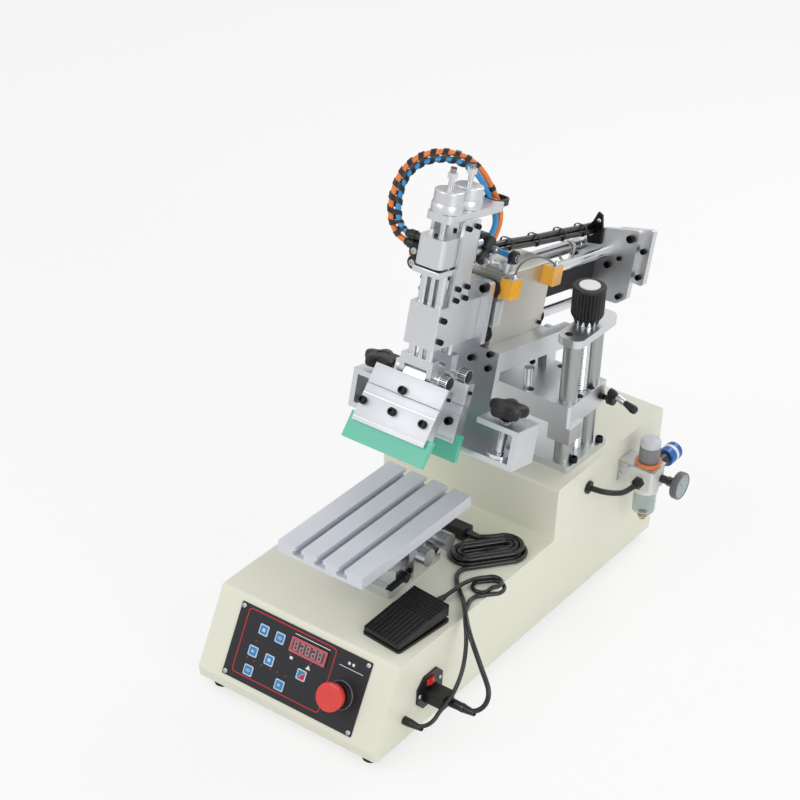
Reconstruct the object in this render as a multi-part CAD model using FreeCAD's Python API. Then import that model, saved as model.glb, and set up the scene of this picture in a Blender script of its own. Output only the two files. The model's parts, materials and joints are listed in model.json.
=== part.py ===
# A tabletop screen printing press: a folded steel cabinet with a sloped control panel carries a
# T-slot work table on an adjustable stage, and a lift column whose plate holds a tilting frame,
# a screen clamp and a sliding print head with two squeegees. All sizes are millimetres.
# X runs to the right of a person at the panel, Y to the rear and Z up. The pieces are drawn about
# the middle of the cabinet and saved with the origin under the front left foot's centre. The head
# is stored with its front end raised by its rest tilt.
import FreeCAD, Part
import math
import os

V = FreeCAD.Vector
X = V(1, 0, 0)
Y = V(0, 1, 0)
Z = V(0, 0, 1)

# Fits that every piece shares
gap = 0.3
shaft_gap = 0.05
overrun = 1.0
parallel_share = 0.999

# Screws: head and socket as shares of the thread size
head_share = 1.5
socket_share = 0.8
small_screw = 3.0
screw = 5.0

# Cabinet
cabinet_width = 300.0
cabinet_length = 720.4
sheet = 2.0
bend_radius = 5.0
lip_height = 18.6
lip_set_back = 4.2
slope_run = 53.6
deck_height = 130.4
rear_box_length = 293.7
rear_height = 216.4
flange_width = 14.0
feet_height = 14.0
foot_diameter = 28.0
foot_inset = 22.0

# Control panel, on the slope: distances up the slope start at the front fold
panel_width = 220.0
panel_start = 8.0
panel_length = 106.0
panel_thickness = 1.5
panel_screw_inset = 5.0
key_size = 13.0
key_height = 0.8
key_places = [
    (-64.3, 89.3), (-36.6, 89.1), (-71.4, 55.5), (-43.1, 54.2), (-70.3, 28.0), (-16.8, 28.8),
    (11.3, 55.5),
]
display_width = 60.0
display_length = 21.0
display_height = 2.2
display_x = 12.0
display_up = 90.0
stop_x = 77.0
stop_up = 55.0
stop_hole = 22.0
stop_collar_diameter = 40.0
stop_collar_height = 10.0
stop_head_diameter = 40.0
stop_head_height = 16.0
stop_stem_diameter = 16.0
stop_travel = 5.0
stop_body_depth = 30.0

# Pieces inside the cabinet
board_length = 150.0
board_width = 110.0
board_thickness = 1.6
board_standoff = 10.0
supply_height = 38.0
valve_block_length = 96.0
valve_block_width = 46.0
valve_block_height = 52.0

# Power inlet on the right wall, measured from the front fold and the cabinet's lower edge
inlet_along = 122.7
inlet_up = 56.7
inlet_length = 57.7
inlet_height = 52.0
inlet_corner = 14.0
inlet_flange = 3.0
inlet_depth = 26.0
rocker_radius = 11.0
rocker_width = 10.0
rocker_rise = 3.5
rocker_up = 13.5
connector_drop = 7.0
connector_width = 23.0
connector_height = 15.0
connector_corner = 3.0
connector_nose = 14.0
connector_rim = 2.5
connector_body = 30.0
connector_length = 52.0

# Regulator group on the right wall
regulator_out = 40.0
regulator_from_back = 107.4
regulator_body_size = 38.0
regulator_body_low = 150.0
regulator_body_height = 33.0
regulator_neck_diameter = 24.0
regulator_ring_diameter = 38.0
regulator_ring_height = 6.0
regulator_knob_diameter = 31.0
regulator_knob_height = 37.0
bracket_thickness = 3.0
bracket_width = 36.0
bracket_drop = 34.0
bowl_diameter = 34.0
bowl_length = 48.0
bowl_wall = 2.0
drain_diameter = 9.0
drain_length = 12.0
gauge_diameter = 42.0
gauge_depth = 12.0
gauge_stem_diameter = 12.0
gauge_stem_length = 24.0
valve_core_diameter = 20.0
valve_core_length = 62.0
valve_sleeve_diameter = 28.0
valve_sleeve_length = 30.0
air_tube_diameter = 8.0
grommet_from_back = 209.4
grommet_up = 180.0
grommet_rise = 3.0
grommet_lip = 3.0
elbow_up = 15.0
elbow_length = 12.0
elbow_diameter = 13.0
gauge_shift = 8.0
gauge_up = 14.0
valve_up = 20.0
gland_along = 67.7
gland_up = 35.0
gland_diameter = 12.0
gland_length = 10.0

# Column: measured from the step wall and the cabinet roof
base_bolt = 4.0
base_bolt_out = 16.5
front_bolt_offset = -34.0
rear_bolt_offset = 36.0
column_set_back = 97.3
column_right = 117.0
column_left = -97.0
column_end = 20.0
column_base_depth = 108.0
column_base_thickness = 11.0
front_post_offset = -37.0
rear_post_offset = 26.0
front_post_diameter = 26.0
rear_post_diameter = 22.0
lead_screw_diameter = 20.0
lead_screw_inward = 5.0
lead_screw_offset = 3.0
post_height = 190.6
top_bar_thickness = 12.0
top_bar_depth = 110.0
lift_plate_rise = 73.6
lift_plate_thickness = 35.0
lift_plate_depth = 102.0
lift_plate_shift = -5.0
lift_plate_end = 15.0
collar_size = 36.0
collar_drop = 26.0
lift_knob_diameter = 48.0
lift_knob_height = 46.0
lift_knob_lift = 12.0
lift_knob_cap = 30.0
lift_cap_height = 1.2

# Tilting frame, in its own level frame: x, back and up from the hinge axis
rest_tilt = 12.0
hinge_back = 33.4
hinge_rise = 47.1
hinge_pin_diameter = 12.0
arm_inner = 44.0
arm_thickness = 18.0
arm_height = 30.0
arm_front = 168.0
arm_rear = 40.0
lug_thickness = 14.0
lug_radius = 12.5
cross_plate_thickness = 12.0
cross_plate_rear = 20.0
stop_screw_diameter = 12.0
stop_screw_forward = 77.0

# Screen clamp channel
channel_half_width = 137.0
channel_depth = 56.0
channel_wall = 12.0
channel_floor = 8.0
channel_bottom = -122.0
channel_top = -64.0
channel_neck_half = 62.0
tab_width = 66.0
clamp_x = 105.0
clamp_forward = 37.0
clamp_screw_diameter = 13.0
clamp_pad_diameter = 36.0
clamp_pad_height = 5.0
clamp_knob_diameter = 58.0
clamp_knob_height = 30.0
clamp_knob_rise = 4.0
clamp_lobes = 5
lobe_share = 0.36
corner_share = 0.45

# Beam housing and print carriage
housing_half_width = 35.0
housing_front = -165.0
housing_rear = -28.0
housing_height = 100.0
housing_wall = 8.0
housing_end_wall = 14.0
rod_diameter = 15.0
rod_x = 25.0
rod_low = 30.0
rod_high = 95.0
cylinder_diameter = 19.0
cylinder_x = -18.0
tie_bar_width = 10.0
tie_bar_height = 40.0
tie_bar_x = 6.0
front_plate_thickness = 12.0
front_plate_gap = 13.0
front_plate_bottom = 18.0
front_plate_top = 110.0
rear_plate_thickness = 12.0
rear_plate_back = 150.0
rear_plate_outline = [
    (-34.0, 20.0), (58.0, 24.0), (72.0, 36.0), (72.0, 140.6), (9.0, 127.0), (9.0, 108.0), (-34.0, 108.0),
]
rear_block_outline = [(30.0, 60.0), (88.0, 58.0), (88.0, 144.0), (30.0, 131.5)]
rear_block_thickness = 12.0
rear_corner = 4.0
sensor_width = 18.0
sensor_depth = 25.0
sensor_height = 28.0
sensor_up = 99.0
sensor_front = -152.0
sensor_rear = -40.0

# Head tower
head_half_width = 24.0
head_front = -293.0
head_bottom = 28.0
head_height = 59.0
side_plate_thickness = 5.0
side_plate_front = -270.0
side_plate_rear = -232.0
tower_top = 204.0
cylinder_block_half = 21.0
cylinder_block_front = -308.0
cylinder_block_rear = -212.0
cylinder_block_bottom = 143.0
cylinder_block_height = 40.0
top_plate_half = 20.0
top_plate_front = -301.0
top_plate_rear = -162.0
top_plate_thickness = 11.0
cup_diameter = 40.0
cup_height = 30.0
front_slide_back = -281.0
rear_slide_back = -234.0
unit_rod_diameter = 11.0
unit_rod_x = 14.0
unit_rod_top = 168.0
stud_diameter = 8.0
nut_height = 7.0
nut_width = 13.0
squeegee_travel = 15.0

# Hoses on the head, in the tilting frame's own coordinates: they leave the left side, arch over
# the top plate and come down behind it
hose_diameter = 8.0
fitting_diameter = 11.4
fitting_length = 16.0
outer_hose_up = (158.7, 149.7)
inner_hose_up = (170.3, 161.7)
hose_front = -284.0
hose_across = 10.0
outer_hose_route = [
    (-54.0, -284.0, 158.7), (-69.5, -283.2, 165.6), (-80.5, -282.2, 178.5), (-84.6, -283.0, 196.7),
    (-86.0, -281.0, 214.0), (-87.5, -272.7, 231.2), (-85.8, -263.2, 246.8), (-78.7, -252.4, 259.8),
    (-68.6, -239.7, 268.4), (-57.1, -226.0, 272.5), (-45.4, -211.8, 272.3), (-34.5, -197.7, 267.9),
    (-25.2, -184.3, 259.5), (-18.3, -172.0, 247.8), (-13.2, -161.0, 233.9), (-7.6, -151.8, 219.0),
    (-0.1, -145.3, 203.6), (5.7, -145.5, 186.3), (8.0, -152.5, 169.5), (9.3, -163.5, 156.6),
    (10.0, -179.0, 149.7),
]
inner_hose_route = [
    (-52.0, -284.0, 170.3), (-65.0, -283.1, 177.7), (-72.5, -281.6, 190.6), (-78.5, -275.4, 206.0),
    (-82.1, -268.4, 221.6), (-81.7, -260.8, 237.4), (-75.8, -251.1, 250.7), (-66.0, -239.6, 259.6),
    (-54.7, -227.0, 263.9), (-43.4, -213.6, 263.7), (-32.9, -200.2, 259.2), (-24.6, -187.4, 250.5),
    (-18.7, -175.8, 238.8), (-14.2, -165.6, 225.2), (-9.2, -156.6, 211.0), (-0.7, -154.7, 196.1),
    (8.0, -160.5, 182.1), (9.3, -168.0, 169.2), (10.0, -181.0, 161.7),
]

# Squeegee units
cross_bar_width = 52.0
cross_bar_depth = 16.0
cross_bar_height = 14.0
cross_bar_top = 12.0
ear_thickness = 8.0
holder_pin_drop = 9.0
holder_pin_diameter = 6.0
holder_width = 118.0
holder_height = 84.0
holder_thickness = 18.0
holder_lip = 7.0
front_lean = 28.0
rear_lean = 8.0
blade_width = 132.0
blade_thickness = 8.0
blade_reach = 26.0
blade_seat = 12.0
wing_diameter = 20.0
wing_length = 14.0
wing_stem = 12.0
wing_cap = 4.0

# Work table and stage
table_half_width = 70.0
table_front = 72.0
table_length = 253.0
table_thickness = 18.0
table_top = 227.0
slot_pitch = 36.0
slot_width = 10.0
slot_lips = 6.0
tee_width = 18.0
tee_height = 7.0
stage_centre = 228.0
stage_base_half = 50.0
stage_base_length = 125.0
stage_base_thickness = 14.0
x_slide_half = 42.0
x_slide_length = 110.0
x_slide_height = 22.0
y_slide_length = 100.0
y_slide_height = 24.0
turn_plate_diameter = 96.0
stage_travel = 8.0
adjuster_diameter = 26.0
adjuster_length = 16.0
adjuster_shaft = 8.0
adjuster_bracket = 8.0
adjuster_bracket_width = 26.0
x_adjuster_forward = 6.0
angle_adjuster_back = 42.0
lever_length = 34.0
lever_diameter = 10.0
lever_forward = 36.0

# Foot switch, lying on the deck
pedal_x = 104.0
pedal_along = 130.0
pedal_turn = -6.0
pedal_width = 66.0
pedal_length = 104.0
pedal_front_height = 11.0
pedal_rear_height = 28.0
pedal_floor = 4.0
pedal_wall = 2.5
pedal_press = 3.0
treadle_thickness = 4.0
rib_height = 1.2
rib_width = 2.4
rib_count = 10
cross_rib_count = 8
rib_zone_share = 0.6
pedal_relief_up = 10.0
pedal_relief_length = 10.0

# Cords
mains_diameter = 7.0
pedal_cord_diameter = 6.0
mains_run = 58.0
mains_outer_radius = 27.0
mains_turns = 3
pedal_run = 16.0
pedal_outer_radius = 15.5
pedal_turns = 1
loop_gap = 0.6
neighbour_spots = 9
mains_x = 95.0
mains_y = 337.0
mains_angle = 53.0
loops_x = 141.0
loops_y = 270.0
loops_angle = 50.0
cord_start_run = 14.4
pedal_start_run = 12.4
plug_x = 50.0
plug_y = 354.8
plug_angle = 0.0
plug_length = 36.0
plug_width = 26.0
plug_height = 18.0
plug_pin_diameter = 4.8
plug_pin_length = 18.0
plug_pin_step = 14.0

# Air tube: x, distance before the rear wall and height. The cords' routes below give x, the distance
# from the front fold and the height over the cabinet's lower edge
air_route = [
    (165.0, 209.4, 180.0), (180.6, 200.4, 178.0), (189.6, 184.8, 173.0), (190.0, 167.4, 167.5),
    (190.0, 145.4, 165.0),
]
mains_route = [
    (219.4, 122.7, 49.7), (231.5, 126.4, 56.6), (237.3, 132.6, 68.2), (235.1, 139.3, 80.8),
    (226.0, 144.3, 91.6), (216.0, 148.3, 102.2), (206.8, 151.9, 113.6), (197.2, 155.9, 124.4),
    (186.7, 161.9, 133.4), (176.1, 170.7, 139.2), (165.8, 181.3, 142.2), (156.0, 192.6, 143.2),
    (146.6, 204.3, 141.8), (137.4, 215.9, 138.7), (127.9, 227.0, 135.5), (117.2, 237.5, 133.9),
    (106.1, 247.6, 133.9), (96.4, 259.1, 133.9), (89.4, 271.7, 133.9),
]
plug_route = [(71.5, 356.5, 140.9), (60.5, 354.6, 139.9)]
pedal_route = [
    (172.4, 67.7, 35.0), (182.8, 73.5, 38.4), (187.8, 83.3, 44.1), (187.4, 94.0, 50.3),
    (188.7, 105.8, 56.1), (189.7, 117.5, 62.0), (189.0, 128.4, 69.3), (187.7, 138.6, 77.5),
    (185.8, 147.7, 86.8), (183.2, 155.3, 97.2), (179.7, 162.5, 107.6), (175.0, 169.9, 117.4),
    (168.8, 177.5, 126.2), (161.2, 186.3, 132.1), (153.4, 196.7, 134.1), (147.3, 208.3, 133.9),
    (142.3, 220.5, 133.4), (138.0, 232.1, 133.4),
]
pedal_tail_route = [
    (122.1, 271.5, 140.0), (117.6, 259.3, 140.7), (114.9, 245.2, 141.4), (113.9, 230.8, 141.4),
    (112.9, 216.5, 141.0), (111.6, 202.7, 140.4),
]

# Places that follow from the sizes above
side = cabinet_width / 2
front = -cabinet_length / 2
back = cabinet_length / 2
floor = feet_height
deck = floor + deck_height
roof = floor + rear_height
step = back - rear_box_length
slope_rise = deck_height - lip_height
slope_angle = math.degrees(math.atan2(slope_rise, slope_run))
column_y = step + column_set_back
lead_screw_x = column_right - lead_screw_inward
lead_screw_y = column_y + lead_screw_offset
base_top = roof + column_base_thickness
lift_bottom = roof + lift_plate_rise
lift_top = lift_bottom + lift_plate_thickness
hinge = V(0, column_y + hinge_back, lift_top + hinge_rise)
table_z = floor + table_top
table_low = table_z - table_thickness
stage_y = front + stage_centre
regulator = V(side + regulator_out, back - regulator_from_back, floor + regulator_body_low)
foot_centre = V(-side + foot_inset, front + lip_set_back + foot_inset, 0)


def box(x0, x1, y0, y1, z0, z1):
    """A block between two corners."""
    return Part.makeBox(x1 - x0, y1 - y0, z1 - z0, V(x0, y0, z0))


def rod(base, direction, diameter, length):
    """A round bar from its base along a direction."""
    return Part.makeCylinder(diameter / 2, length, base, direction)


def tube(base, direction, outer, inner, length):
    """A round sleeve with a through bore."""
    hole = rod(base - direction * overrun, direction, inner, length + 2 * overrun)
    return rod(base, direction, outer, length).cut(hole)


def joined(pieces):
    """One solid from pieces that share faces or overlap."""
    whole = pieces[0]
    for piece in pieces[1:]:
        whole = whole.fuse(piece)
    return whole.removeSplitter()


def rounded(shape, direction, radius):
    """The straight edges along a direction, rounded."""
    edges = []
    for edge in shape.Edges:
        straight = edge.Curve.TypeId == "Part::GeomLine"
        if straight and abs(edge.tangentAt(edge.FirstParameter).dot(direction)) > parallel_share:
            edges.append(edge)
    return shape.makeFillet(radius, edges)


def prism(points, direction):
    """A flat outline pushed along a direction."""
    return Part.Face(Part.makePolygon(points + [points[0]])).extrude(direction)


def hexagon(centre, direction, across, length):
    """A six-sided bar across its flats."""
    radius = across / 2 / math.cos(math.pi / 6)
    turn = FreeCAD.Rotation(Z, direction)
    corners = []
    for corner in range(6):
        angle = math.pi / 3 * corner
        point = V(radius * math.cos(angle), radius * math.sin(angle), 0)
        corners.append(centre + turn.multVec(point))
    return prism(corners, direction * length)


def cap_screw(seat, direction, size):
    """A socket head screw's head, seated on a face."""
    head = rod(seat, direction, size * head_share, size)
    socket = hexagon(seat + direction * (size / 2), direction, size * socket_share, size)
    return head.cut(socket)


def save(node, pieces):
    """Write one node and print what it holds."""
    whole = pieces[0] if len(pieces) == 1 else Part.makeCompound(pieces)
    volume = sum(piece.Volume for piece in pieces)
    print(f"{node}: {len(whole.Solids)} solids, {volume / 1000:.1f} cm3, valid {whole.isValid()}")
    placed = whole.copy()
    placed.translate(-foot_centre)
    placed.exportStep(f"parts/{node}.step")


def on_slope(shape):
    """Place a shape drawn as x, distance up the slope and height over it."""
    placed = shape.copy()
    placed.rotate(V(0, 0, 0), X, slope_angle)
    placed.translate(V(0, front, floor + lip_height))
    return placed


def tilted(shape):
    """Place a shape drawn level about the hinge axis at the head's rest tilt."""
    placed = shape.copy()
    placed.rotate(V(0, 0, 0), X, -rest_tilt)
    placed.translate(hinge)
    return placed


# Cabinet

def cabinet_profile(inset):
    """The cabinet's side outline, moved inwards, as a face on the middle plane."""
    low = floor + inset
    slope = math.radians(slope_angle)
    normal_shift = inset / math.cos(slope)
    slope_at_low = front + lip_set_back + inset
    fold_z = floor + lip_height + inset * math.tan((math.pi / 2 - slope) / 2)
    top = deck - inset
    meet = front + (top - floor - lip_height + normal_shift) / math.tan(slope)
    points = [
        V(0, slope_at_low, low),
        V(0, front + inset, fold_z),
        V(0, meet, top),
        V(0, step + inset, top),
        V(0, step + inset, roof - inset),
        V(0, back - inset, roof - inset),
        V(0, back - inset, low),
    ]
    return points


def cabinet_solid(inset):
    """The cabinet's outer or inner body with its bends rounded."""
    half = side - inset
    body = prism(cabinet_profile(inset), X * (2 * half))
    body.translate(V(-half, 0, 0))
    return rounded(body, X, bend_radius - inset)


def side_hole(along, up, diameter):
    """A round hole through the right wall."""
    start = V(side - sheet - overrun, front + along, floor + up)
    return rod(start, X, diameter, sheet + 2 * overrun)


def make_cabinet():
    shell = cabinet_solid(0).cut(cabinet_solid(sheet))
    mouth = box(
        -side + sheet + flange_width, side - sheet - flange_width,
        front + lip_set_back + sheet + flange_width, back - sheet - flange_width,
        floor - overrun, floor + sheet + overrun)
    shell = shell.cut(mouth)
    stop_cut = rod(V(stop_x, stop_up, -sheet - overrun), Z, stop_hole, sheet + 2 * overrun)
    shell = shell.cut(on_slope(stop_cut))
    inlet_cut = inlet_outline(inlet_flange + gap, side - sheet - overrun, sheet + 2 * overrun)
    shell = shell.cut(inlet_cut)
    shell = shell.cut(side_hole(cabinet_length - grommet_from_back, grommet_up, air_tube_diameter + 2 * grommet_rise))
    save("cabinet_shell", [shell])
    plate = box(
        -side + bend_radius + gap, side - bend_radius - gap,
        front + lip_set_back + bend_radius + gap, back - bend_radius - gap,
        floor + sheet, floor + 2 * sheet)
    save("bottom_plate", [plate])
    feet = []
    for x in (-side + foot_inset, side - foot_inset):
        for y in (front + lip_set_back + foot_inset, back - foot_inset):
            foot = Part.makeCone(foot_diameter / 2 - bend_radius / 2, foot_diameter / 2, floor, V(x, y, 0))
            feet.append(foot)
    save("rubber_feet", feet)


# Control panel

def make_panel():
    half = panel_width / 2
    plate = box(-half, half, panel_start, panel_start + panel_length, 0, panel_thickness)
    plate = rounded(plate, Z, panel_thickness)
    plate = plate.cut(rod(V(stop_x, stop_up, -overrun), Z, stop_hole, panel_thickness + 2 * overrun))
    save("control_panel", [on_slope(plate)])
    keys = []
    half_key = key_size / 2
    for x, up in key_places:
        key = box(x - half_key, x + half_key, up - half_key, up + half_key, 0, key_height)
        key.translate(V(0, 0, panel_thickness))
        keys.append(on_slope(rounded(key, Z, key_height)))
    save("panel_keys", keys)
    display = box(
        display_x - display_width / 2, display_x + display_width / 2,
        display_up - display_length / 2, display_up + display_length / 2,
        panel_thickness, panel_thickness + display_height)
    save("digit_display", [on_slope(rounded(display, Z, display_height / 2))])
    collar_base = V(stop_x, stop_up, panel_thickness)
    collar = Part.makeCone(
        stop_collar_diameter / 2, stop_collar_diameter / 2 - stop_travel / 2, stop_collar_height, collar_base)
    barrel = rod(V(stop_x, stop_up, -stop_body_depth), Z, stop_hole - 2 * shaft_gap, stop_body_depth + panel_thickness)
    bore = rod(
        V(stop_x, stop_up, -stop_body_depth + sheet), Z, stop_stem_diameter + 2 * shaft_gap,
        stop_body_depth + stop_collar_height + 2 * overrun)
    save("estop_base", [on_slope(joined([collar, barrel]).cut(bore))])
    head_low = panel_thickness + stop_collar_height + stop_travel + gap
    head = rod(V(stop_x, stop_up, head_low), Z, stop_head_diameter, stop_head_height)
    rim = [edge for edge in head.Edges if abs(edge.BoundBox.ZMin - head_low - stop_head_height) < gap]
    head = head.makeFillet(stop_head_height / 4, rim[:1])
    stem_low = -stop_body_depth + sheet + stop_travel + gap
    stem = rod(V(stop_x, stop_up, stem_low), Z, stop_stem_diameter, head_low - stem_low)
    save("estop_button", [on_slope(joined([head, stem]))])


def make_fasteners():
    """Screws and bolts that stay with the cabinet."""
    screws = []
    half = panel_width / 2 - panel_screw_inset
    for x in (-half, half):
        for up in (panel_start + panel_screw_inset, panel_start + panel_length - panel_screw_inset):
            head = rod(V(x, up, panel_thickness), Z, small_screw * 2, small_screw / 2)
            screws.append(on_slope(head))
    for x in (column_left - base_bolt_out, column_right + base_bolt_out):
        for offset in (front_bolt_offset, rear_bolt_offset):
            screws.append(cap_screw(V(x, column_y + offset, base_top), Z, base_bolt))
    save("cabinet_fasteners", screws)


# Inside the cabinet

def make_inside():
    low = floor + 2 * sheet
    board_y = (step + front + slope_run) / 2
    board = box(
        -board_width / 2, board_width / 2, board_y - board_length / 2, board_y + board_length / 2,
        low + board_standoff, low + board_standoff + board_thickness)
    posts = []
    for x in (-board_width / 2 + board_standoff, board_width / 2 - board_standoff):
        for y in (board_y - board_length / 2 + board_standoff, board_y + board_length / 2 - board_standoff):
            posts.append(rod(V(x, y, low), Z, board_standoff * head_share / 2, board_standoff))
    supply = box(
        -board_width / 4, board_width / 4, board_y - board_length / 4, board_y + board_length / 4,
        low + board_standoff + board_thickness, low + board_standoff + board_thickness + supply_height)
    pieces = [joined([board] + posts), supply]
    block_y = step + rear_box_length / 2
    block = box(
        -valve_block_length / 2, valve_block_length / 2,
        block_y - valve_block_width / 2, block_y + valve_block_width / 2,
        low, low + valve_block_height / 2)
    coils = []
    coil_width = valve_block_length / 4 - 2 * overrun
    for coil in range(4):
        x = -valve_block_length / 2 + valve_block_length / 4 * (coil + 1 / 2)
        coils.append(box(
            x - coil_width / 2, x + coil_width / 2, block_y - valve_block_width / 3, block_y + valve_block_width / 3,
            low + valve_block_height / 2, low + valve_block_height))
    save("inner_controls", pieces + [block] + coils)


# Power inlet

def inlet_outline(margin, start, depth):
    """The inlet's flange outline, smaller by a margin, as a bar along X."""
    half_length = inlet_length / 2 - margin
    half_height = inlet_height / 2 - margin
    corner = inlet_corner
    outline = [
        (half_length - corner, -half_height), (half_length, -half_height + corner),
        (half_length, half_height - corner), (half_length - corner, half_height),
        (-half_length + corner, half_height), (-half_length, half_height - corner),
        (-half_length, -half_height + corner), (-half_length + corner, -half_height),
    ]
    centre = V(start, front + inlet_along, floor + inlet_up)
    return prism([centre + V(0, along, up) for along, up in outline], X * depth)


def rocker_disc(margin):
    """The rocker switch turns about Z as a thick disc that stands out of the inlet."""
    radius = rocker_radius + margin
    low = floor + inlet_up + rocker_up - rocker_width / 2 - margin
    centre = V(side + inlet_flange + rocker_rise - rocker_radius, front + inlet_along, low)
    return rod(centre, Z, 2 * radius, rocker_width + 2 * margin)


def connector_box(start, end, margin):
    """The mains connector's body between two places along X."""
    y = front + inlet_along
    z = floor + inlet_up - connector_drop
    half_y = connector_width / 2 + margin
    half_z = connector_height / 2 + margin
    return rounded(box(start, end, y - half_y, y + half_y, z - half_z, z + half_z), X, connector_corner)


def make_inlet():
    flange = inlet_outline(0, side, inlet_flange)
    body = inlet_outline(inlet_flange + 2 * gap, side - inlet_depth, inlet_depth)
    inlet = joined([flange, body]).cut(rocker_disc(gap))
    face = side + inlet_flange
    inlet = inlet.cut(connector_box(face - connector_nose - gap, face + overrun, gap))
    save("power_inlet", [inlet])
    save("rocker_switch", [rocker_disc(0)])


# Regulator group on the right wall

def make_regulator():
    top = regulator + Z * regulator_body_height
    half = regulator_body_size / 2
    body = box(regulator.x - half, regulator.x + half, regulator.y - half, regulator.y + half, regulator.z, top.z)
    body = rounded(body, Z, bend_radius)
    neck = rod(top, Z, regulator_neck_diameter, bracket_thickness + regulator_ring_height)
    elbow_z = regulator.z + elbow_up
    port_start = V(regulator.x, regulator.y - half - elbow_length, elbow_z)
    port = rod(port_start, Y, elbow_diameter, elbow_length + overrun)
    save("regulator_body", [joined([body, neck, port])])
    ring_low = top + Z * bracket_thickness
    ring = tube(ring_low, Z, regulator_ring_diameter, regulator_neck_diameter + 2 * shaft_gap, regulator_ring_height)
    plate_low = top.z
    leaf = box(
        side, regulator.x + regulator_ring_diameter / 2, regulator.y - bracket_width / 2,
        regulator.y + bracket_width / 2, plate_low, plate_low + bracket_thickness)
    wall_leaf = box(
        side, side + bracket_thickness, regulator.y - bracket_width / 2, regulator.y + bracket_width / 2,
        plate_low - bracket_drop, plate_low + bracket_thickness)
    bracket = rounded(joined([leaf, wall_leaf]), Y, bracket_thickness / 4)
    hole = rod(top - Z * overrun, Z, regulator_neck_diameter + 2 * shaft_gap, bracket_thickness + 2 * overrun)
    save("regulator_bracket", [bracket.cut(hole), ring])
    knob_low = ring_low + Z * (regulator_ring_height + gap)
    knob = rod(knob_low, Z, regulator_knob_diameter, regulator_knob_height)
    save("regulator_knob", [knob.makeChamfer(bracket_thickness / 2, top_edges(knob))])
    bowl_low = regulator - Z * bowl_length
    bowl = rod(bowl_low, Z, bowl_diameter, bowl_length)
    bowl = bowl.makeFillet(bowl_diameter / 4, bottom_edges(bowl))
    inside = rod(bowl_low + Z * bowl_wall, Z, bowl_diameter - 2 * bowl_wall, bowl_length)
    inside = inside.makeFillet(bowl_diameter / 4 - bowl_wall / 2, bottom_edges(inside))
    drain = rod(bowl_low - Z * drain_length, Z, drain_diameter, drain_length)
    save("filter_bowl", [bowl.cut(inside), drain])
    gauge_base = V(regulator.x + half, regulator.y + gauge_shift, regulator.z + gauge_up)
    stem = rod(gauge_base, X, gauge_stem_diameter, gauge_stem_length)
    case = rod(gauge_base + X * gauge_stem_length, X, gauge_diameter, gauge_depth)
    save("pressure_gauge", [joined([stem, case])])
    valve_start = V(regulator.x, regulator.y + half, regulator.z + valve_up)
    core = rod(valve_start, Y, valve_core_diameter, valve_core_length)
    sleeve_start = valve_start + Y * (valve_core_length - valve_sleeve_length)
    sleeve = tube(sleeve_start, Y, valve_sleeve_diameter, valve_core_diameter + 2 * shaft_gap, valve_sleeve_length)
    save("valve_sleeve", [sleeve])
    return core, port_start


def top_edges(shape):
    high = shape.BoundBox.ZMax
    return [edge for edge in shape.Edges if abs(edge.BoundBox.ZMin - high) < shaft_gap]


def bottom_edges(shape):
    low = shape.BoundBox.ZMin
    return [edge for edge in shape.Edges if abs(edge.BoundBox.ZMax - low) < shaft_gap]


def route_wire(points):
    """Straight runs joined by tangent arcs, as large as the runs beside each point allow."""
    edges = []
    radii = []
    at = points[0]
    for before, here, after in zip(points, points[1:], points[2:]):
        into = here - before
        out = after - here
        turn = into.getAngle(out)
        cut = corner_share * min(into.Length, out.Length)
        radius = cut / math.tan(turn / 2)
        back_way = (before - here).normalize()
        on_way = (after - here).normalize()
        start = here + back_way * cut
        end = here + on_way * cut
        inward = (back_way + on_way).normalize()
        middle = here + inward * (radius / math.cos(turn / 2) - radius)
        edges.append(Part.LineSegment(at, start).toShape())
        edges.append(Part.Arc(start, middle, end).toShape())
        radii.append(radius)
        at = end
    edges.append(Part.LineSegment(at, points[-1]).toShape())
    return Part.Wire(edges), radii


def cord_solid(name, points, diameter):
    """A round cord along its route; prints its radii and compares its volume."""
    wire, radii = route_wire(points)
    section = Part.Wire(Part.makeCircle(diameter / 2, points[0], points[1] - points[0]))
    solid = wire.makePipeShell([section], True, False)
    expected = math.pi * diameter ** 2 / 4 * wire.Length
    listed = " ".join(f"{radius:.0f}" for radius in radii)
    print(f"{name}: length {wire.Length:.0f}, radii {listed}, volume share {solid.Volume / expected:.4f}")
    return solid


def make_air_line():
    core, port = make_regulator()
    grommet_base = V(side, back - grommet_from_back, floor + grommet_up)
    grommet_outer = air_tube_diameter + 2 * grommet_rise + 2 * grommet_lip
    rim = tube(grommet_base, X, grommet_outer, air_tube_diameter + 2 * shaft_gap, grommet_lip)
    neck = tube(
        grommet_base - X * (sheet + grommet_lip), X, air_tube_diameter + 2 * grommet_rise - 2 * shaft_gap,
        air_tube_diameter + 2 * shaft_gap, sheet + grommet_lip)
    gland_base = V(side, front + gland_along, floor + gland_up)
    gland = rod(gland_base, X, gland_diameter, gland_length)
    grommet = joined([rim, neck])
    start = grommet_base - X * (sheet + grommet_lip)
    points = [start]
    for x, before, up in air_route:
        points.append(V(x, back - before, floor + up))
    points.append(port)
    save("air_line", [cord_solid("air tube", points, air_tube_diameter), grommet, gland, core])


# Column

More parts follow.
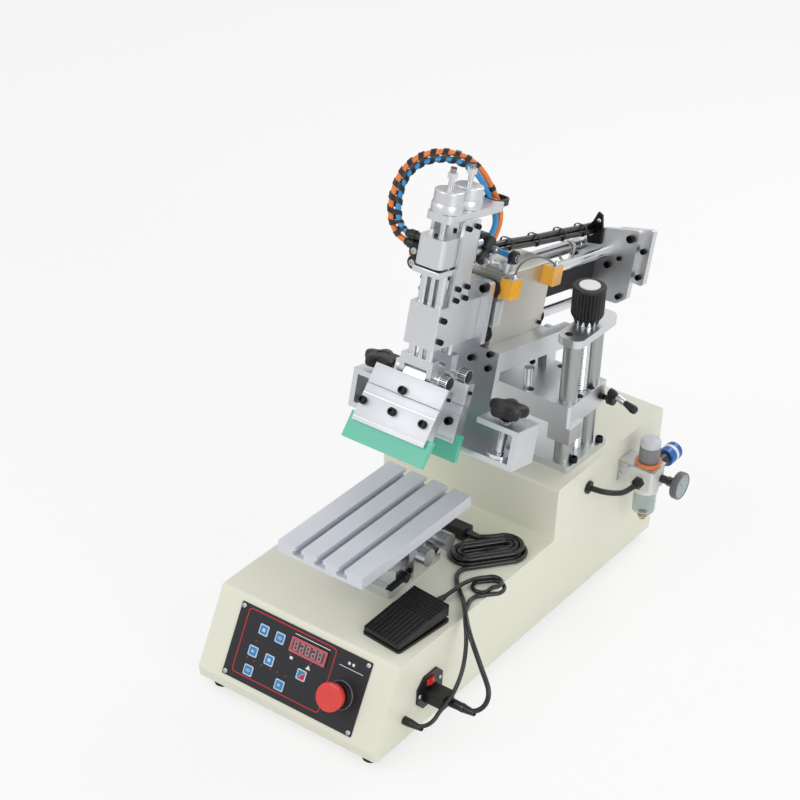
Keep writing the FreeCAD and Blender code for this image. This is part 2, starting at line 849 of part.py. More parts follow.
def make_column():
    left = column_left - column_end
    right = column_right + column_end
    half = column_base_depth / 2
    base = box(left, right, column_y - half, column_y + half, roof, base_top)
    save("column_base", [rounded(base, Z, bend_radius)])
    posts = []
    bars = []
    bar_z = base_top + post_height
    for x in (column_left, column_right):
        posts.append(rod(V(x, column_y + front_post_offset, base_top), Z, front_post_diameter, post_height))
        posts.append(rod(V(x, column_y + rear_post_offset, base_top), Z, rear_post_diameter, post_height))
        bar = box(
            x - column_end, x + column_end, column_y - top_bar_depth / 2, column_y + top_bar_depth / 2,
            bar_z, bar_z + top_bar_thickness)
        bars.append(rounded(bar, Z, column_end * 3 / 4))
    bars[1] = bars[1].cut(screw_bore(bar_z, top_bar_thickness))
    save("column_posts", posts)
    save("column_top_bar", bars)


def screw_bore(low, height):
    """A running bore for the lead screw."""
    base = V(lead_screw_x, lead_screw_y, low - overrun)
    return rod(base, Z, lead_screw_diameter + 2 * shaft_gap, height + 2 * overrun)


def make_lift():
    left = column_left - column_end
    right = column_right + lift_plate_end
    middle = column_y + lift_plate_shift
    plate = box(left, right, middle - lift_plate_depth / 2, middle + lift_plate_depth / 2, lift_bottom, lift_top)
    plate = rounded(plate, Z, bend_radius)
    pieces = [plate]
    for x in (column_left, column_right):
        y = column_y + front_post_offset
        half = collar_size / 2
        pieces.append(box(x - half, x + half, y - half, y + half, lift_bottom - collar_drop, lift_bottom))
    for lug_side in (-1, 1):
        inner = lug_side * (arm_inner - gap - lug_thickness)
        outer = lug_side * (arm_inner - gap)
        low_x = min(inner, outer)
        lug = box(low_x, low_x + lug_thickness, hinge.y - lug_radius, hinge.y + lug_radius, lift_top, hinge.z)
        crown = rod(V(low_x, hinge.y, hinge.z), X, 2 * lug_radius, lug_thickness)
        pieces += [lug, crown]
        stop_x_place = lug_side * (arm_inner + arm_thickness / 2)
        stop_rise = hinge_rise - arm_height / 2 - gap
        stop_base = V(stop_x_place, hinge.y - stop_screw_forward, lift_top)
        pieces.append(rod(stop_base, Z, stop_screw_diameter, stop_rise))
    body = joined(pieces)
    cut_low = lift_bottom - collar_drop
    cut_height = lift_plate_thickness + collar_drop
    for x in (column_left, column_right):
        for offset, diameter in ((front_post_offset, front_post_diameter), (rear_post_offset, rear_post_diameter)):
            base = V(x, column_y + offset, cut_low - overrun)
            body = body.cut(rod(base, Z, diameter + 2 * shaft_gap, cut_height + 2 * overrun))
    body = body.cut(screw_bore(lift_bottom, lift_plate_thickness))
    pin_half = arm_inner + arm_thickness
    body = body.cut(rod(hinge - X * pin_half, X, hinge_pin_diameter + 2 * shaft_gap, 2 * pin_half))
    save("lift_plate", [body])
    pin = rod(hinge - X * (pin_half + screw), X, hinge_pin_diameter, 2 * (pin_half + screw))
    save("hinge_pin", [pin])
    bar_top = base_top + post_height + top_bar_thickness
    screw_low = V(lead_screw_x, lead_screw_y, base_top + gap)
    knob_base = V(lead_screw_x, lead_screw_y, bar_top + gap)
    lead_screw = rod(screw_low, Z, lead_screw_diameter, knob_base.z - screw_low.z)
    hub = rod(knob_base, Z, lift_knob_cap, lift_knob_lift)
    grip_low = knob_base + Z * lift_knob_lift
    grip = rod(grip_low, Z, lift_knob_diameter, lift_knob_height)
    grip = grip.makeFillet(lift_knob_lift / 4, top_edges(grip))
    cap = rod(grip_low + Z * lift_knob_height, Z, lift_knob_cap, lift_cap_height)
    save("lift_knob", [joined([hub, grip]), cap, lead_screw])


# Tilting frame, drawn level about the hinge axis

def make_tilt_frame():
    pieces = []
    half = arm_height / 2
    for arm_side in (-1, 1):
        low_x = min(arm_side * arm_inner, arm_side * (arm_inner + arm_thickness))
        bar = box(low_x, low_x + arm_thickness, -arm_front, arm_rear - half, -half, half)
        tail = rod(V(low_x, arm_rear - half, 0), X, arm_height, arm_thickness)
        pieces += [bar, tail]
    plate = box(
        -arm_inner, arm_inner, -arm_front, -cross_plate_rear, half - cross_plate_thickness, half)
    frame = joined(pieces + [plate])
    reach = arm_inner + arm_thickness
    bore = rod(V(-reach - overrun, 0, 0), X, hinge_pin_diameter + 2 * shaft_gap, 2 * (reach + overrun))
    save("tilt_frame", [tilted(frame.cut(bore))])


def make_channel():
    wall_rear = -arm_front
    wall_front = wall_rear - channel_wall
    lip_front = wall_rear - channel_depth
    neck = box(-channel_neck_half, channel_neck_half, wall_front, wall_rear, channel_top, arm_height / 2)
    wall = box(-channel_half_width, channel_half_width, wall_front, wall_rear, channel_bottom, channel_top)
    base = box(
        -channel_half_width, channel_half_width, lip_front, wall_front, channel_bottom, channel_bottom + channel_floor)
    pieces = [neck, wall, base]
    clamp_y = wall_rear - clamp_forward
    for end_side in (-1, 1):
        outer = end_side * channel_half_width
        inner = end_side * (channel_half_width - channel_floor)
        pieces.append(box(min(outer, inner), max(outer, inner), lip_front, wall_front, channel_bottom, channel_top))
        tab_inner = end_side * (channel_half_width - tab_width)
        tab = box(
            min(outer, tab_inner), max(outer, tab_inner), lip_front, wall_front,
            channel_top - channel_floor, channel_top)
        hole_base = V(end_side * clamp_x, clamp_y, channel_top - channel_floor - overrun)
        hole = rod(hole_base, Z, clamp_screw_diameter + 2 * shaft_gap, channel_floor + 2 * overrun)
        pieces.append(tab.cut(hole))
    save("frame_channel", [tilted(joined(pieces))])


def star_knob(centre, diameter, height, lobes):
    """A lobed knob about Z: a round core with a round lobe at each corner."""
    lobe_diameter = diameter * lobe_share
    reach = (diameter - lobe_diameter) / 2
    pieces = [rod(centre, Z, 2 * reach, height)]
    for lobe in range(lobes):
        angle = 2 * math.pi * lobe / lobes
        place = centre + V(reach * math.cos(angle), reach * math.sin(angle), 0)
        pieces.append(rod(place, Z, lobe_diameter, height))
    return joined(pieces)


def make_clamps():
    y = -arm_front - clamp_forward
    pad_low = channel_bottom + channel_floor + gap
    knob_low = channel_top + clamp_knob_rise
    for name, end_side in (("left", -1), ("right", 1)):
        x = end_side * clamp_x
        pad = rod(V(x, y, pad_low), Z, clamp_pad_diameter, clamp_pad_height)
        save(f"clamp_pad_{name}", [tilted(pad)])
        knob = star_knob(V(x, y, knob_low), clamp_knob_diameter, clamp_knob_height, clamp_lobes)
        stem_low = pad_low + clamp_pad_height + gap
        stem = rod(V(x, y, stem_low), Z, clamp_screw_diameter, knob_low - stem_low)
        save(f"clamp_knob_{name}", [tilted(joined([knob, stem]))])


# Beam housing and print carriage, drawn level about the hinge axis

def housing_low():
    return arm_height / 2


def make_housing():
    low = housing_low()
    high = low + housing_height
    body = box(-housing_half_width, housing_half_width, housing_front, housing_rear, low, high)
    body = rounded(body, Y, overrun)
    inside = box(
        -housing_half_width + housing_wall, housing_half_width - housing_wall,
        housing_front + housing_end_wall, housing_rear - housing_end_wall, low + housing_wall, high - housing_wall)
    body = body.cut(inside)
    length = housing_rear - housing_front + 2 * overrun
    for x, up, diameter in carriage_bars():
        body = body.cut(rod(V(x, housing_front - overrun, up), Y, diameter + 2 * shaft_gap, length))
    bar_up = tie_bar_middle()
    body = body.cut(box(
        tie_bar_x - tie_bar_width / 2 - gap, tie_bar_x + tie_bar_width / 2 + gap,
        housing_front - overrun, housing_rear + overrun,
        bar_up - tie_bar_height / 2 - gap, bar_up + tie_bar_height / 2 + gap))
    save("beam_housing", [tilted(body)])
    sensors = []
    for back_way in (sensor_front, sensor_rear):
        sensor = box(
            housing_half_width, housing_half_width + sensor_width, back_way - sensor_depth / 2,
            back_way + sensor_depth / 2, sensor_up - sensor_height / 2, sensor_up + sensor_height / 2)
        sensors.append(tilted(rounded(sensor, X, bend_radius / 2)))
    save("proximity_sensors", sensors)


def tie_bar_middle():
    return (rod_low + rod_high) / 2


def carriage_bars():
    """The round bars between the carriage's two end plates: x, height and diameter."""
    return (
        (rod_x, rod_high, rod_diameter), (rod_x, rod_low, rod_diameter),
        (-rod_x, rod_low, rod_diameter), (cylinder_x, rod_high, cylinder_diameter),
    )


def front_plate_rear():
    return housing_front - front_plate_gap


def outlined(outline, start, thickness):
    """A plate across the head from its outline of x and height."""
    plate = prism([V(x, start, up) for x, up in outline], Y * thickness)
    return rounded(plate, Y, rear_corner)


def make_carriage():
    start = front_plate_rear()
    length = rear_plate_back - start
    bars = []
    for x, up, diameter in carriage_bars():
        bars.append(tilted(rod(V(x, start, up), Y, diameter, length)))
    save("guide_rods", bars[:3])
    tie_up = tie_bar_middle()
    tie = box(
        tie_bar_x - tie_bar_width / 2, tie_bar_x + tie_bar_width / 2, start, rear_plate_back,
        tie_up - tie_bar_height / 2, tie_up + tie_bar_height / 2)
    save("stroke_cylinder", [bars[3], tilted(tie)])
    front_plate = box(
        -housing_half_width, housing_half_width, start - front_plate_thickness, start,
        front_plate_bottom, front_plate_top)
    front_plate = rounded(front_plate, Y, bend_radius)
    rear_plate = outlined(rear_plate_outline, rear_plate_back, rear_plate_thickness)
    block = outlined(rear_block_outline, rear_plate_back + rear_plate_thickness, rear_block_thickness)
    save("end_plates", [tilted(front_plate), tilted(rear_plate), tilted(block)])


# Print head tower, drawn level about the hinge axis

def make_head():
    rear = front_plate_rear() - front_plate_thickness
    top = head_bottom + head_height
    block = box(-head_half_width, head_half_width, head_front, rear, head_bottom, top)
    block = rounded(block, Z, overrun * 2)
    for unit in (front_slide_back, rear_slide_back):
        for x in (-unit_rod_x, unit_rod_x):
            hole = rod(V(x, unit, head_bottom - overrun), Z, unit_rod_diameter + 2 * shaft_gap, head_height + 2 * overrun)
            block = block.cut(hole)
        stud_hole = rod(V(0, unit, head_bottom - overrun), Z, stud_diameter + 2 * shaft_gap, head_height + 2 * overrun)
        block = block.cut(stud_hole)
    uprights = []
    for plate_side in (-1, 1):
        inner = plate_side * (cylinder_block_half + gap)
        outer = inner + plate_side * side_plate_thickness
        upright = box(min(inner, outer), max(inner, outer), side_plate_front, side_plate_rear, top, tower_top)
        uprights.append(upright)
    tower = tilted(joined([block] + uprights))
    cap = box(-top_plate_half, top_plate_half, top_plate_front, top_plate_rear, tower_top, tower_top + top_plate_thickness)
    cap = rounded(cap, Z, bend_radius * 2)
    cylinders = box(
        -cylinder_block_half, cylinder_block_half, cylinder_block_front, cylinder_block_rear,
        cylinder_block_bottom, cylinder_block_bottom + cylinder_block_height)
    cylinders = rounded(cylinders, Z, bend_radius * 2)
    cups = []
    for unit in (front_slide_back, rear_slide_back):
        for x in (-unit_rod_x, unit_rod_x):
            hole_top = unit_rod_top + gap
            hole_low = cylinder_block_bottom - overrun
            hole = rod(V(x, unit, hole_low), Z, unit_rod_diameter + 2 * shaft_gap, hole_top - hole_low)
            cylinders = cylinders.cut(hole)
        cup_low = tower_top + top_plate_thickness
        cup = rod(V(0, unit, cup_low), Z, cup_diameter, cup_height)
        cup = cup.makeFillet(bend_radius / 2, top_edges(cup))
        stud_length = cup_low + cup_height - head_bottom + 2 * overrun
        bore = rod(V(0, unit, head_bottom - overrun), Z, stud_diameter + 2 * shaft_gap, stud_length)
        cup = cup.cut(bore)
        cap = cap.cut(bore)
        cylinders = cylinders.cut(bore)
        cups.append(tilted(cup))
    save("head_tower", [tower, tilted(cap)])
    make_hoses(cylinders, cups)


def make_hoses(cylinders, cups):
    """Two air hoses that ride on the head, and the push-in fittings that they meet."""
    hoses = []
    for name, ends, route in (
            ("outer hose", outer_hose_up, outer_hose_route), ("inner hose", inner_hose_up, inner_hose_route)):
        left = V(-cylinder_block_half, hose_front, ends[0])
        rear = V(hose_across, cylinder_block_rear, ends[1])
        seated = fitting_length + overrun
        cylinders = cylinders.fuse(rod(left - X * fitting_length, X, fitting_diameter, seated))
        cylinders = cylinders.fuse(rod(rear - Y * 2 * overrun, Y, fitting_diameter, seated + overrun))
        points = [left - X * fitting_length]
        for x, along, up in route:
            points.append(V(x, along, up))
        points.append(rear + Y * fitting_length)
        hoses.append(tilted(cord_solid(name, points, hose_diameter)))
    save("head_cylinders", [tilted(cylinders)] + cups)
    save("head_hoses", hoses)


def make_unit(name, unit):
    """The moving part of one squeegee unit: four guides, a cross bar, ears and a stop stud."""
    bar_low = cross_bar_top - cross_bar_height
    pieces = []
    bar = box(
        -cross_bar_width / 2, cross_bar_width / 2, unit - cross_bar_depth / 2, unit + cross_bar_depth / 2,
        bar_low, cross_bar_top)
    pieces.append(bar)
    for x in (-unit_rod_x, unit_rod_x):
        pieces.append(rod(V(x, unit, cross_bar_top), Z, unit_rod_diameter, unit_rod_top - cross_bar_top))
    stud_top = tower_top + top_plate_thickness + cup_height + squeegee_travel + nut_height * 2
    pieces.append(rod(V(0, unit, cross_bar_top), Z, stud_diameter, stud_top - cross_bar_top))
    nut_low = tower_top + top_plate_thickness + cup_height + squeegee_travel + gap
    nut = hexagon(V(0, unit, nut_low), Z, nut_width, nut_height)
    for ear_side in (-1, 1):
        outer = ear_side * cross_bar_width / 2
        inner = outer - ear_side * ear_thickness
        ear = box(
            min(outer, inner), max(outer, inner), unit - cross_bar_depth / 2, unit + cross_bar_depth / 2,
            bar_low - holder_pin_drop, bar_low)
        foot = rod(
            V(min(outer, inner), unit, bar_low - holder_pin_drop), X, cross_bar_depth, ear_thickness)
        pieces += [ear, foot]
    body = joined(pieces + [nut])
    pin_z = bar_low - holder_pin_drop
    pin = rod(
        V(-cross_bar_width / 2 - wing_length, unit, pin_z), X, holder_pin_diameter + 2 * shaft_gap,
        cross_bar_width + 2 * wing_length)
    save(f"{name}_slide", [tilted(body.cut(pin))])


def leaned(shape, unit, lean):
    """Turn a holder drawn upright under its pin so that its lower edge swings forward."""
    placed = shape.copy()
    centre = V(0, unit, cross_bar_top - cross_bar_height - holder_pin_drop)
    placed.rotate(centre, X, -lean)
    return tilted(placed)


def make_squeegee(name, unit, lean):
    """A holder hung on its pin, with the rubber blade in its jaw."""
    pin_z = cross_bar_top - cross_bar_height - holder_pin_drop
    inner = cross_bar_width / 2 - ear_thickness - gap
    top = pin_z - cross_bar_depth / 2 - gap
    half = holder_thickness / 2
    low = top - holder_height
    jaw = blade_thickness + 2 * gap
    outline = [
        V(-holder_width / 2, unit - half, low), V(-holder_width / 2, unit - half, low + holder_height / 2),
        V(-holder_width / 2, unit - half + holder_lip / 2, low + holder_height * 2 / 3),
        V(-holder_width / 2, unit - half + holder_lip / 2, top), V(-holder_width / 2, unit + half, top),
        V(-holder_width / 2, unit + half, low),
    ]
    body = prism(outline, X * holder_width)
    slot = box(
        -holder_width / 2 - overrun, holder_width / 2 + overrun, unit - jaw / 2, unit + jaw / 2,
        low - overrun, low + blade_seat + gap)
    body = body.cut(slot)
    knuckle_low = box(-inner, inner, unit - holder_pin_diameter, unit + holder_pin_diameter, top, pin_z)
    knuckle = rod(V(-inner, unit, pin_z), X, 2 * holder_pin_diameter, 2 * inner)
    pin_half = cross_bar_width / 2 + gap
    pin = rod(V(-pin_half, unit, pin_z), X, holder_pin_diameter, 2 * pin_half)
    stem = rod(V(pin_half, unit, pin_z), X, holder_pin_diameter, wing_stem)
    wing = rod(V(pin_half + wing_stem, unit, pin_z), X, wing_diameter, wing_length)
    cap = rod(V(-pin_half - wing_cap, unit, pin_z), X, cross_bar_depth, wing_cap)
    holder = joined([body, knuckle_low, knuckle, pin, stem, wing, cap])
    save(f"{name}_holder", [leaned(holder, unit, lean)])
    blade = box(
        -blade_width / 2, blade_width / 2, unit - blade_thickness / 2, unit + blade_thickness / 2,
        low - blade_reach, low + blade_seat)
    save(f"{name}_blade", [leaned(blade, unit, lean)])


# Work table on its stage

def make_stage():
    base = box(
        -stage_base_half, stage_base_half, stage_y - stage_base_length / 2, stage_y + stage_base_length / 2,
        deck, deck + stage_base_thickness)
    save("stage_base", [rounded(base, Z, bend_radius)])
    low = deck + stage_base_thickness + gap
    y_half = x_slide_half + stage_travel + gap
    y_slide = box(
        -y_half, y_half, stage_y - y_slide_length / 2, stage_y + y_slide_length / 2, low, low + y_slide_height)
    lever_y = stage_y - lever_forward
    lever_z = low + y_slide_height / 2
    lever_bore = rod(V(y_half - y_slide_height, lever_y, lever_z), X, adjuster_shaft + 2 * shaft_gap, y_slide_height * 2)
    x_low = low + y_slide_height + gap
    knob_z = x_low + x_slide_height / 2
    knob_y = stage_y - x_adjuster_forward
    bracket = box(
        y_half, y_half + adjuster_bracket, knob_y - adjuster_bracket_width / 2, knob_y + adjuster_bracket_width / 2,
        low, x_low + x_slide_height)
    knob_bore = rod(V(y_half - overrun, knob_y, knob_z), X, adjuster_shaft + 2 * shaft_gap, adjuster_bracket * 2)
    save("stage_y_slide", [joined([y_slide, bracket]).cut(lever_bore).cut(knob_bore)])
    save("stage_lever", [stage_lever(V(y_half, lever_y, lever_z))])
    x_slide = box(
        -x_slide_half, x_slide_half, stage_y - x_slide_length / 2, stage_y + x_slide_length / 2,
        x_low, x_low + x_slide_height)
    shaft_inner = x_slide_half - x_slide_height
    bore_low = shaft_inner - stage_travel - overrun
    x_bore = rod(V(bore_low, knob_y, knob_z), X, adjuster_shaft + 2 * shaft_gap, x_slide_half)
    turn_y = stage_y + angle_adjuster_back
    boss_length = adjuster_bracket + stage_travel + 3 * gap
    boss = rod(V(x_slide_half, turn_y, knob_z), X, x_slide_height, boss_length)
    turn_bore = rod(V(bore_low, turn_y, knob_z), X, adjuster_shaft + 2 * shaft_gap, x_slide_half * 2)
    save("stage_x_slide", [joined([x_slide, boss]).cut(x_bore).cut(turn_bore)])
    save("x_adjust_knob", [adjuster(shaft_inner, y_half + adjuster_bracket, knob_y, knob_z)])
    save("angle_adjust_knob", [adjuster(shaft_inner, x_slide_half + boss_length, turn_y, knob_z)])
    plate_low = x_low + x_slide_height + gap
    plate = rod(V(0, stage_y, plate_low), Z, turn_plate_diameter, table_low - plate_low)
    save("turn_plate", [plate])


def adjuster(inner, face, y, z):
    """A knurled knob on a shaft, its rear face a gap off the bracket."""
    shaft = rod(V(inner, y, z), X, adjuster_shaft, face + gap - inner)
    knob = rod(V(face + gap, y, z), X, adjuster_diameter, adjuster_length)
    return joined([shaft, knob])


def stage_lever(face):
    shaft_in = y_slide_height - 2 * overrun
    shaft = rod(face - X * shaft_in, X, adjuster_shaft, shaft_in + gap)
    hub = rod(face + X * gap, X, lever_diameter * head_share, lever_diameter)
    arm = rod(face + X * (gap + lever_diameter / 2), -Y, lever_diameter, lever_length)
    return joined([shaft, hub, arm])


def make_table():
    start = front + table_front
    table = box(-table_half_width, table_half_width, start, start + table_length, table_low, table_z)
    for slot in (-1, 0, 1):
        x = slot * slot_pitch
        neck = box(
            x - slot_width / 2, x + slot_width / 2, start - overrun, start + table_length + overrun,
            table_z - slot_lips - overrun, table_z + overrun)
        tee = box(
            x - tee_width / 2, x + tee_width / 2, start - overrun, start + table_length + overrun,
            table_z - slot_lips - tee_height, table_z - slot_lips)
        table = table.cut(neck).cut(tee)
    save("t_slot_table", [table])


# Foot switch on the deck, drawn from the middle of its front edge

def on_deck(shape):
    placed = shape.copy()
    placed.translate(V(0, -pedal_length / 2, 0))
    placed.rotate(V(0, 0, 0), Z, pedal_turn)
    placed.translate(V(pedal_x, front + pedal_along, deck))
    return placed


def pedal_height(along):
    """The treadle's top at a distance from the front edge."""
    return pedal_front_height + (pedal_rear_height - pedal_front_height) * along / pedal_length


def wedge(half, start, end, low, drop):
    """A block under the treadle's slope, lowered by a drop at every place."""
    points = [
        V(-half, start, low), V(-half, end, low),
        V(-half, end, pedal_height(end) - drop), V(-half, start, pedal_height(start) - drop),
    ]
    return prism(points, X * (2 * half))


def make_pedal():
    half = pedal_width / 2
    flange = rounded(box(-half, half, 0, pedal_length, 0, pedal_floor), Z, bend_radius)
    press = math.tan(math.radians(pedal_press))
    skirt = pedal_floor / 2
    tub_half = half - skirt - pedal_wall - 2 * gap
    tub_start = skirt + pedal_wall + pedal_floor / 2
    tub_end = pedal_length - pedal_wall
    tub = pressed_wedge(tub_half, tub_start, tub_end, press)
    hollow = pressed_wedge(tub_half - pedal_wall, tub_start + pedal_wall, tub_end - pedal_wall, -press)
    relief_base = V(0, tub_end, pedal_relief_up)
    relief = rod(relief_base - Y * pedal_wall / 2, Y, pedal_cord_diameter + pedal_wall, pedal_relief_length)
    tray = joined([flange, tub])
    hollow.translate(V(0, 0, pedal_wall))
    tray = joined([tray.cut(hollow), relief])
    save("pedal_base", [on_deck(tray)])
    cover = treadle_shell(half - skirt, skirt, pedal_length - skirt, press)
    save("pedal_treadle", [on_deck(cover)])
    return relief_base + Y * (pedal_relief_length - pedal_wall / 2)


def pressed_wedge(half, start, end, press):
    """A block that stays under the treadle when it is pressed."""
    points = [
        V(-half, start, pedal_floor), V(-half, end, pedal_floor),
        V(-half, end, pedal_height(end) - treadle_thickness - gap - end * abs(press)),
        V(-half, start, pedal_height(start) - treadle_thickness - gap - start * abs(press)),
    ]
    if press < 0:
        points[2] = points[2] + V(0, 0, pedal_rear_height)
        points[3] = points[3] + V(0, 0, pedal_rear_height)
    return prism(points, X * (2 * half))


def treadle_shell(half, start, end, press):
    """The treadle: a sloped plate with side and front skirts, ribbed on top."""
    hem = pedal_floor + 2 * gap
    points = [
        V(-half, start, hem), V(-half, end, hem + end * press),
        V(-half, end, pedal_height(end)), V(-half, start, pedal_height(start)),
    ]
    outer = prism(points, X * (2 * half))
    inner = wedge(half - pedal_wall, start + pedal_wall, end + overrun, 0, treadle_thickness)
    cover = outer.cut(inner)
    slope = math.degrees(math.atan2(pedal_rear_height - pedal_front_height, pedal_length))
    ribs = []
    rib_step = (2 * half - rib_width) / (rib_count - 1)
    zone = (end - start) * rib_zone_share
    for rib in range(rib_count):
        x = -half + rib_step * rib
        bar = box(x, x + rib_width, start, start + zone, 0, rib_height)
        bar.rotate(V(0, start, 0), X, slope)
        bar.translate(V(0, 0, pedal_height(start)))
        ribs.append(bar)
    cross_step = (end - start - zone) / cross_rib_count
    for rib in range(cross_rib_count):
        y = start + zone + cross_step * (rib + corner_share)
        bar = box(-half, half, y, y + rib_width / 2, 0, rib_height)
        bar.rotate(V(0, y, 0), X, slope)
        bar.translate(V(0, 0, pedal_height(y)))
        ribs.append(bar)
    return joined([cover] + ribs)


# Cords

def hank_wire(centre, along, run, outer_radius, diameter, turns):
    """Loops that spiral in on the deck, climb a layer along a run and spiral out again."""
    step_in = diameter + loop_gap
    across = V(-along.y, along.x, 0)
    low = deck + diameter / 2
    edges = []
    points = []

    def place(u, v, height):
        return centre + along * u + across * v + Z * (low + height)

    def straight(start, end):
        edges.append(Part.LineSegment(start, end).toShape())
        points.extend([start, end])

    def half_turn(u, v_from, v_to, height):
        middle = place(u + math.copysign(abs(v_to - v_from) / 2, u), (v_from + v_to) / 2, height)
        edges.append(Part.Arc(place(u, v_from, height), middle, place(u, v_to, height)).toShape())

    def climb(v):
        start = place(-run / 2, v, 0)
        end = place(run / 2, v, step_in)
        turn = 2 * math.atan(step_in / run)
        half_way = place(0, v, step_in / 2)
        radius = run / 2 / math.sin(turn)
        dip = radius * (1 - math.cos(turn / 2))
        first = place(-run / 2 + radius * math.sin(turn / 2), v, dip)
        last = place(run / 2 - radius * math.sin(turn / 2), v, step_in - dip)
        edges.append(Part.Arc(start, first, half_way).toShape())
        edges.append(Part.Arc(half_way, last, end).toShape())

    rights = [-outer_radius + step_in * turn for turn in range(turns + 1)]
    lefts = [outer_radius - step_in * turn for turn in range(turns)]
    for turn in range(turns):
        straight(place(-run / 2, rights[turn], 0), place(run / 2, rights[turn], 0))
        half_turn(run / 2, rights[turn], lefts[turn], 0)
        straight(place(run / 2, lefts[turn], 0), place(-run / 2, lefts[turn], 0))
        half_turn(-run / 2, lefts[turn], rights[turn + 1], 0)
    climb(rights[turns])
    for turn in reversed(range(turns)):
        half_turn(run / 2, rights[turn + 1], lefts[turn], step_in)
        if turn == 0:
            break
        straight(place(run / 2, lefts[turn], step_in), place(-run / 2, lefts[turn], step_in))
        half_turn(-run / 2, lefts[turn], rights[turn], step_in)
        straight(place(-run / 2, rights[turn], step_in), place(run / 2, rights[turn], step_in))
    straight(place(run / 2, lefts[0], step_in), place(run / 2 - diameter, lefts[0], step_in))
    return Part.Wire(edges), points[0], points[-1]


def least_self_gap(wire, diameter):
    """The least gap between stretches of the wire that aren't neighbours, measured on points."""
    spots = wire.discretize(Distance=diameter / 3)
    least = math.inf
    for index, spot in enumerate(spots):
        for other in spots[index + neighbour_spots:]:
            least = min(least, spot.distanceToPoint(other))
    return least - diameter


def make_hank(node, centre, along, run, outer_radius, diameter, turns):
    wire, start, end = hank_wire(centre, along, run, outer_radius, diameter, turns)
    section = Part.Wire(Part.makeCircle(diameter / 2, start, along))
    solid = wire.makePipeShell([section], True, False)
    expected = math.pi * diameter ** 2 / 4 * wire.Length
    print(f"{node}: length {wire.Length:.0f}, least gap {least_self_gap(wire, diameter):.2f}, "
          f"volume share {solid.Volume / expected:.4f}")
    save(node, [solid])
    return start, end


def make_cords(pedal_exit):
    mains_along = V(math.cos(math.radians(mains_angle)), math.sin(math.radians(mains_angle)), 0)
    mains_centre = V(mains_x, front + mains_y, 0)
    start, end = make_hank(
        "mains_hank", mains_centre, mains_along, mains_run, mains_outer_radius, mains_diameter, mains_turns)
    exit_place = V(side + inlet_flange + connector_length, front + inlet_along, floor + inlet_up - connector_drop)
    points = [exit_place]
    for x, along, up in mains_route:
        points.append(V(x, front + along, floor + up))
    points.append(start - mains_along * cord_start_run)
    points.append(start)
    feed = cord_solid("mains feed", points, mains_diameter)
    plug_face = V(plug_x, front + plug_y, deck + plug_height / 2)
    plug_way = V(-math.cos(math.radians(plug_angle)), -math.sin(math.radians(plug_angle)), 0)
    tail = [end, end - mains_along * mains_diameter * 3 / 2]
    for x, along, up in plug_route:
        tail.append(V(x, front + along, floor + up))
    tail.append(plug_face)
    rest = cord_solid("mains tail", tail, mains_diameter)
    save("mains_cord", [feed, rest])
    face = side + inlet_flange
    body = connector_box(face + gap, face + connector_body, connector_rim)
    nose = connector_box(face - connector_nose, face + gap, 0)
    grip = Part.makeCone(
        mains_diameter, mains_diameter / 2 + pedal_wall, connector_length - connector_body,
        V(face + connector_body, exit_place.y, exit_place.z), X)
    save("mains_plugs", [joined([body, nose, grip]), mains_plug(plug_face, plug_way)])
    loops_along = V(math.cos(math.radians(loops_angle)), math.sin(math.radians(loops_angle)), 0)
    loops_centre = V(loops_x, front + loops_y, 0)
    loops_start, loops_end = make_hank(
        "pedal_hank", loops_centre, loops_along, pedal_run, pedal_outer_radius, pedal_cord_diameter, pedal_turns)
    gland_face = V(side + gland_length, front + gland_along, floor + gland_up)
    feed_points = [gland_face]
    for x, along, up in pedal_route:
        feed_points.append(V(x, front + along, floor + up))
    feed_points.append(loops_start - loops_along * pedal_start_run)
    feed_points.append(loops_start)
    pedal_feed = cord_solid("pedal feed", feed_points, pedal_cord_diameter)
    last_points = [loops_end]
    for x, along, up in pedal_tail_route:
        last_points.append(V(x, front + along, floor + up))
    exit_point = Part.Vertex(pedal_exit)
    last_points.append(on_deck(exit_point).Point)
    pedal_tail = cord_solid("pedal tail", last_points, pedal_cord_diameter)
    save("pedal_cord", [pedal_feed, pedal_tail])


def mains_plug(face, way):
    """A plug body with two round pins, lying on the deck."""
    half = plug_width / 2
    high = plug_height / 2
    body = box(0, plug_length, -half, half, -high, high)
    body = rounded(body, X, bend_radius)
    pieces = [body]
    for y in (-plug_pin_step / 2, plug_pin_step / 2):
        pieces.append(rod(V(plug_length, y, 0), X, plug_pin_diameter, plug_pin_length))
    plug = joined(pieces)
    plug.rotate(V(0, 0, 0), Z, math.degrees(math.atan2(way.y, way.x)))
    plug.translate(face)
    return plug


if __name__ == "__main__":
    os.makedirs("parts", exist_ok=True)
    make_cabinet()
    make_panel()
    make_fasteners()
    make_inside()
    make_inlet()
    make_air_line()
    make_column()
    make_lift()
    make_tilt_frame()
    make_channel()
    make_clamps()
    make_housing()
    make_carriage()
    make_head()
    make_unit("front", front_slide_back)
    make_unit("rear", rear_slide_back)
    make_squeegee("front", front_slide_back, front_lean)
    make_squeegee("rear", rear_slide_back, rear_lean)
    make_stage()
    make_table()
    make_cords(make_pedal())
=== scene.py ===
# %% [markdown]
# A tabletop screen printing press, dressed for its picture. The imported model gives every rigid
# piece at its true size, and this lesson adds what a maker's drawing leaves out: finishes, screws,
# ribbed and lobed grips, hoses, cords and the marks on the control panel. We start with the frame
# and keep three small rules that turn the drawing's own places into the scene's.

# %% The frame
import math
import json
import bmesh
import bpy
from mathutils import Matrix, Vector


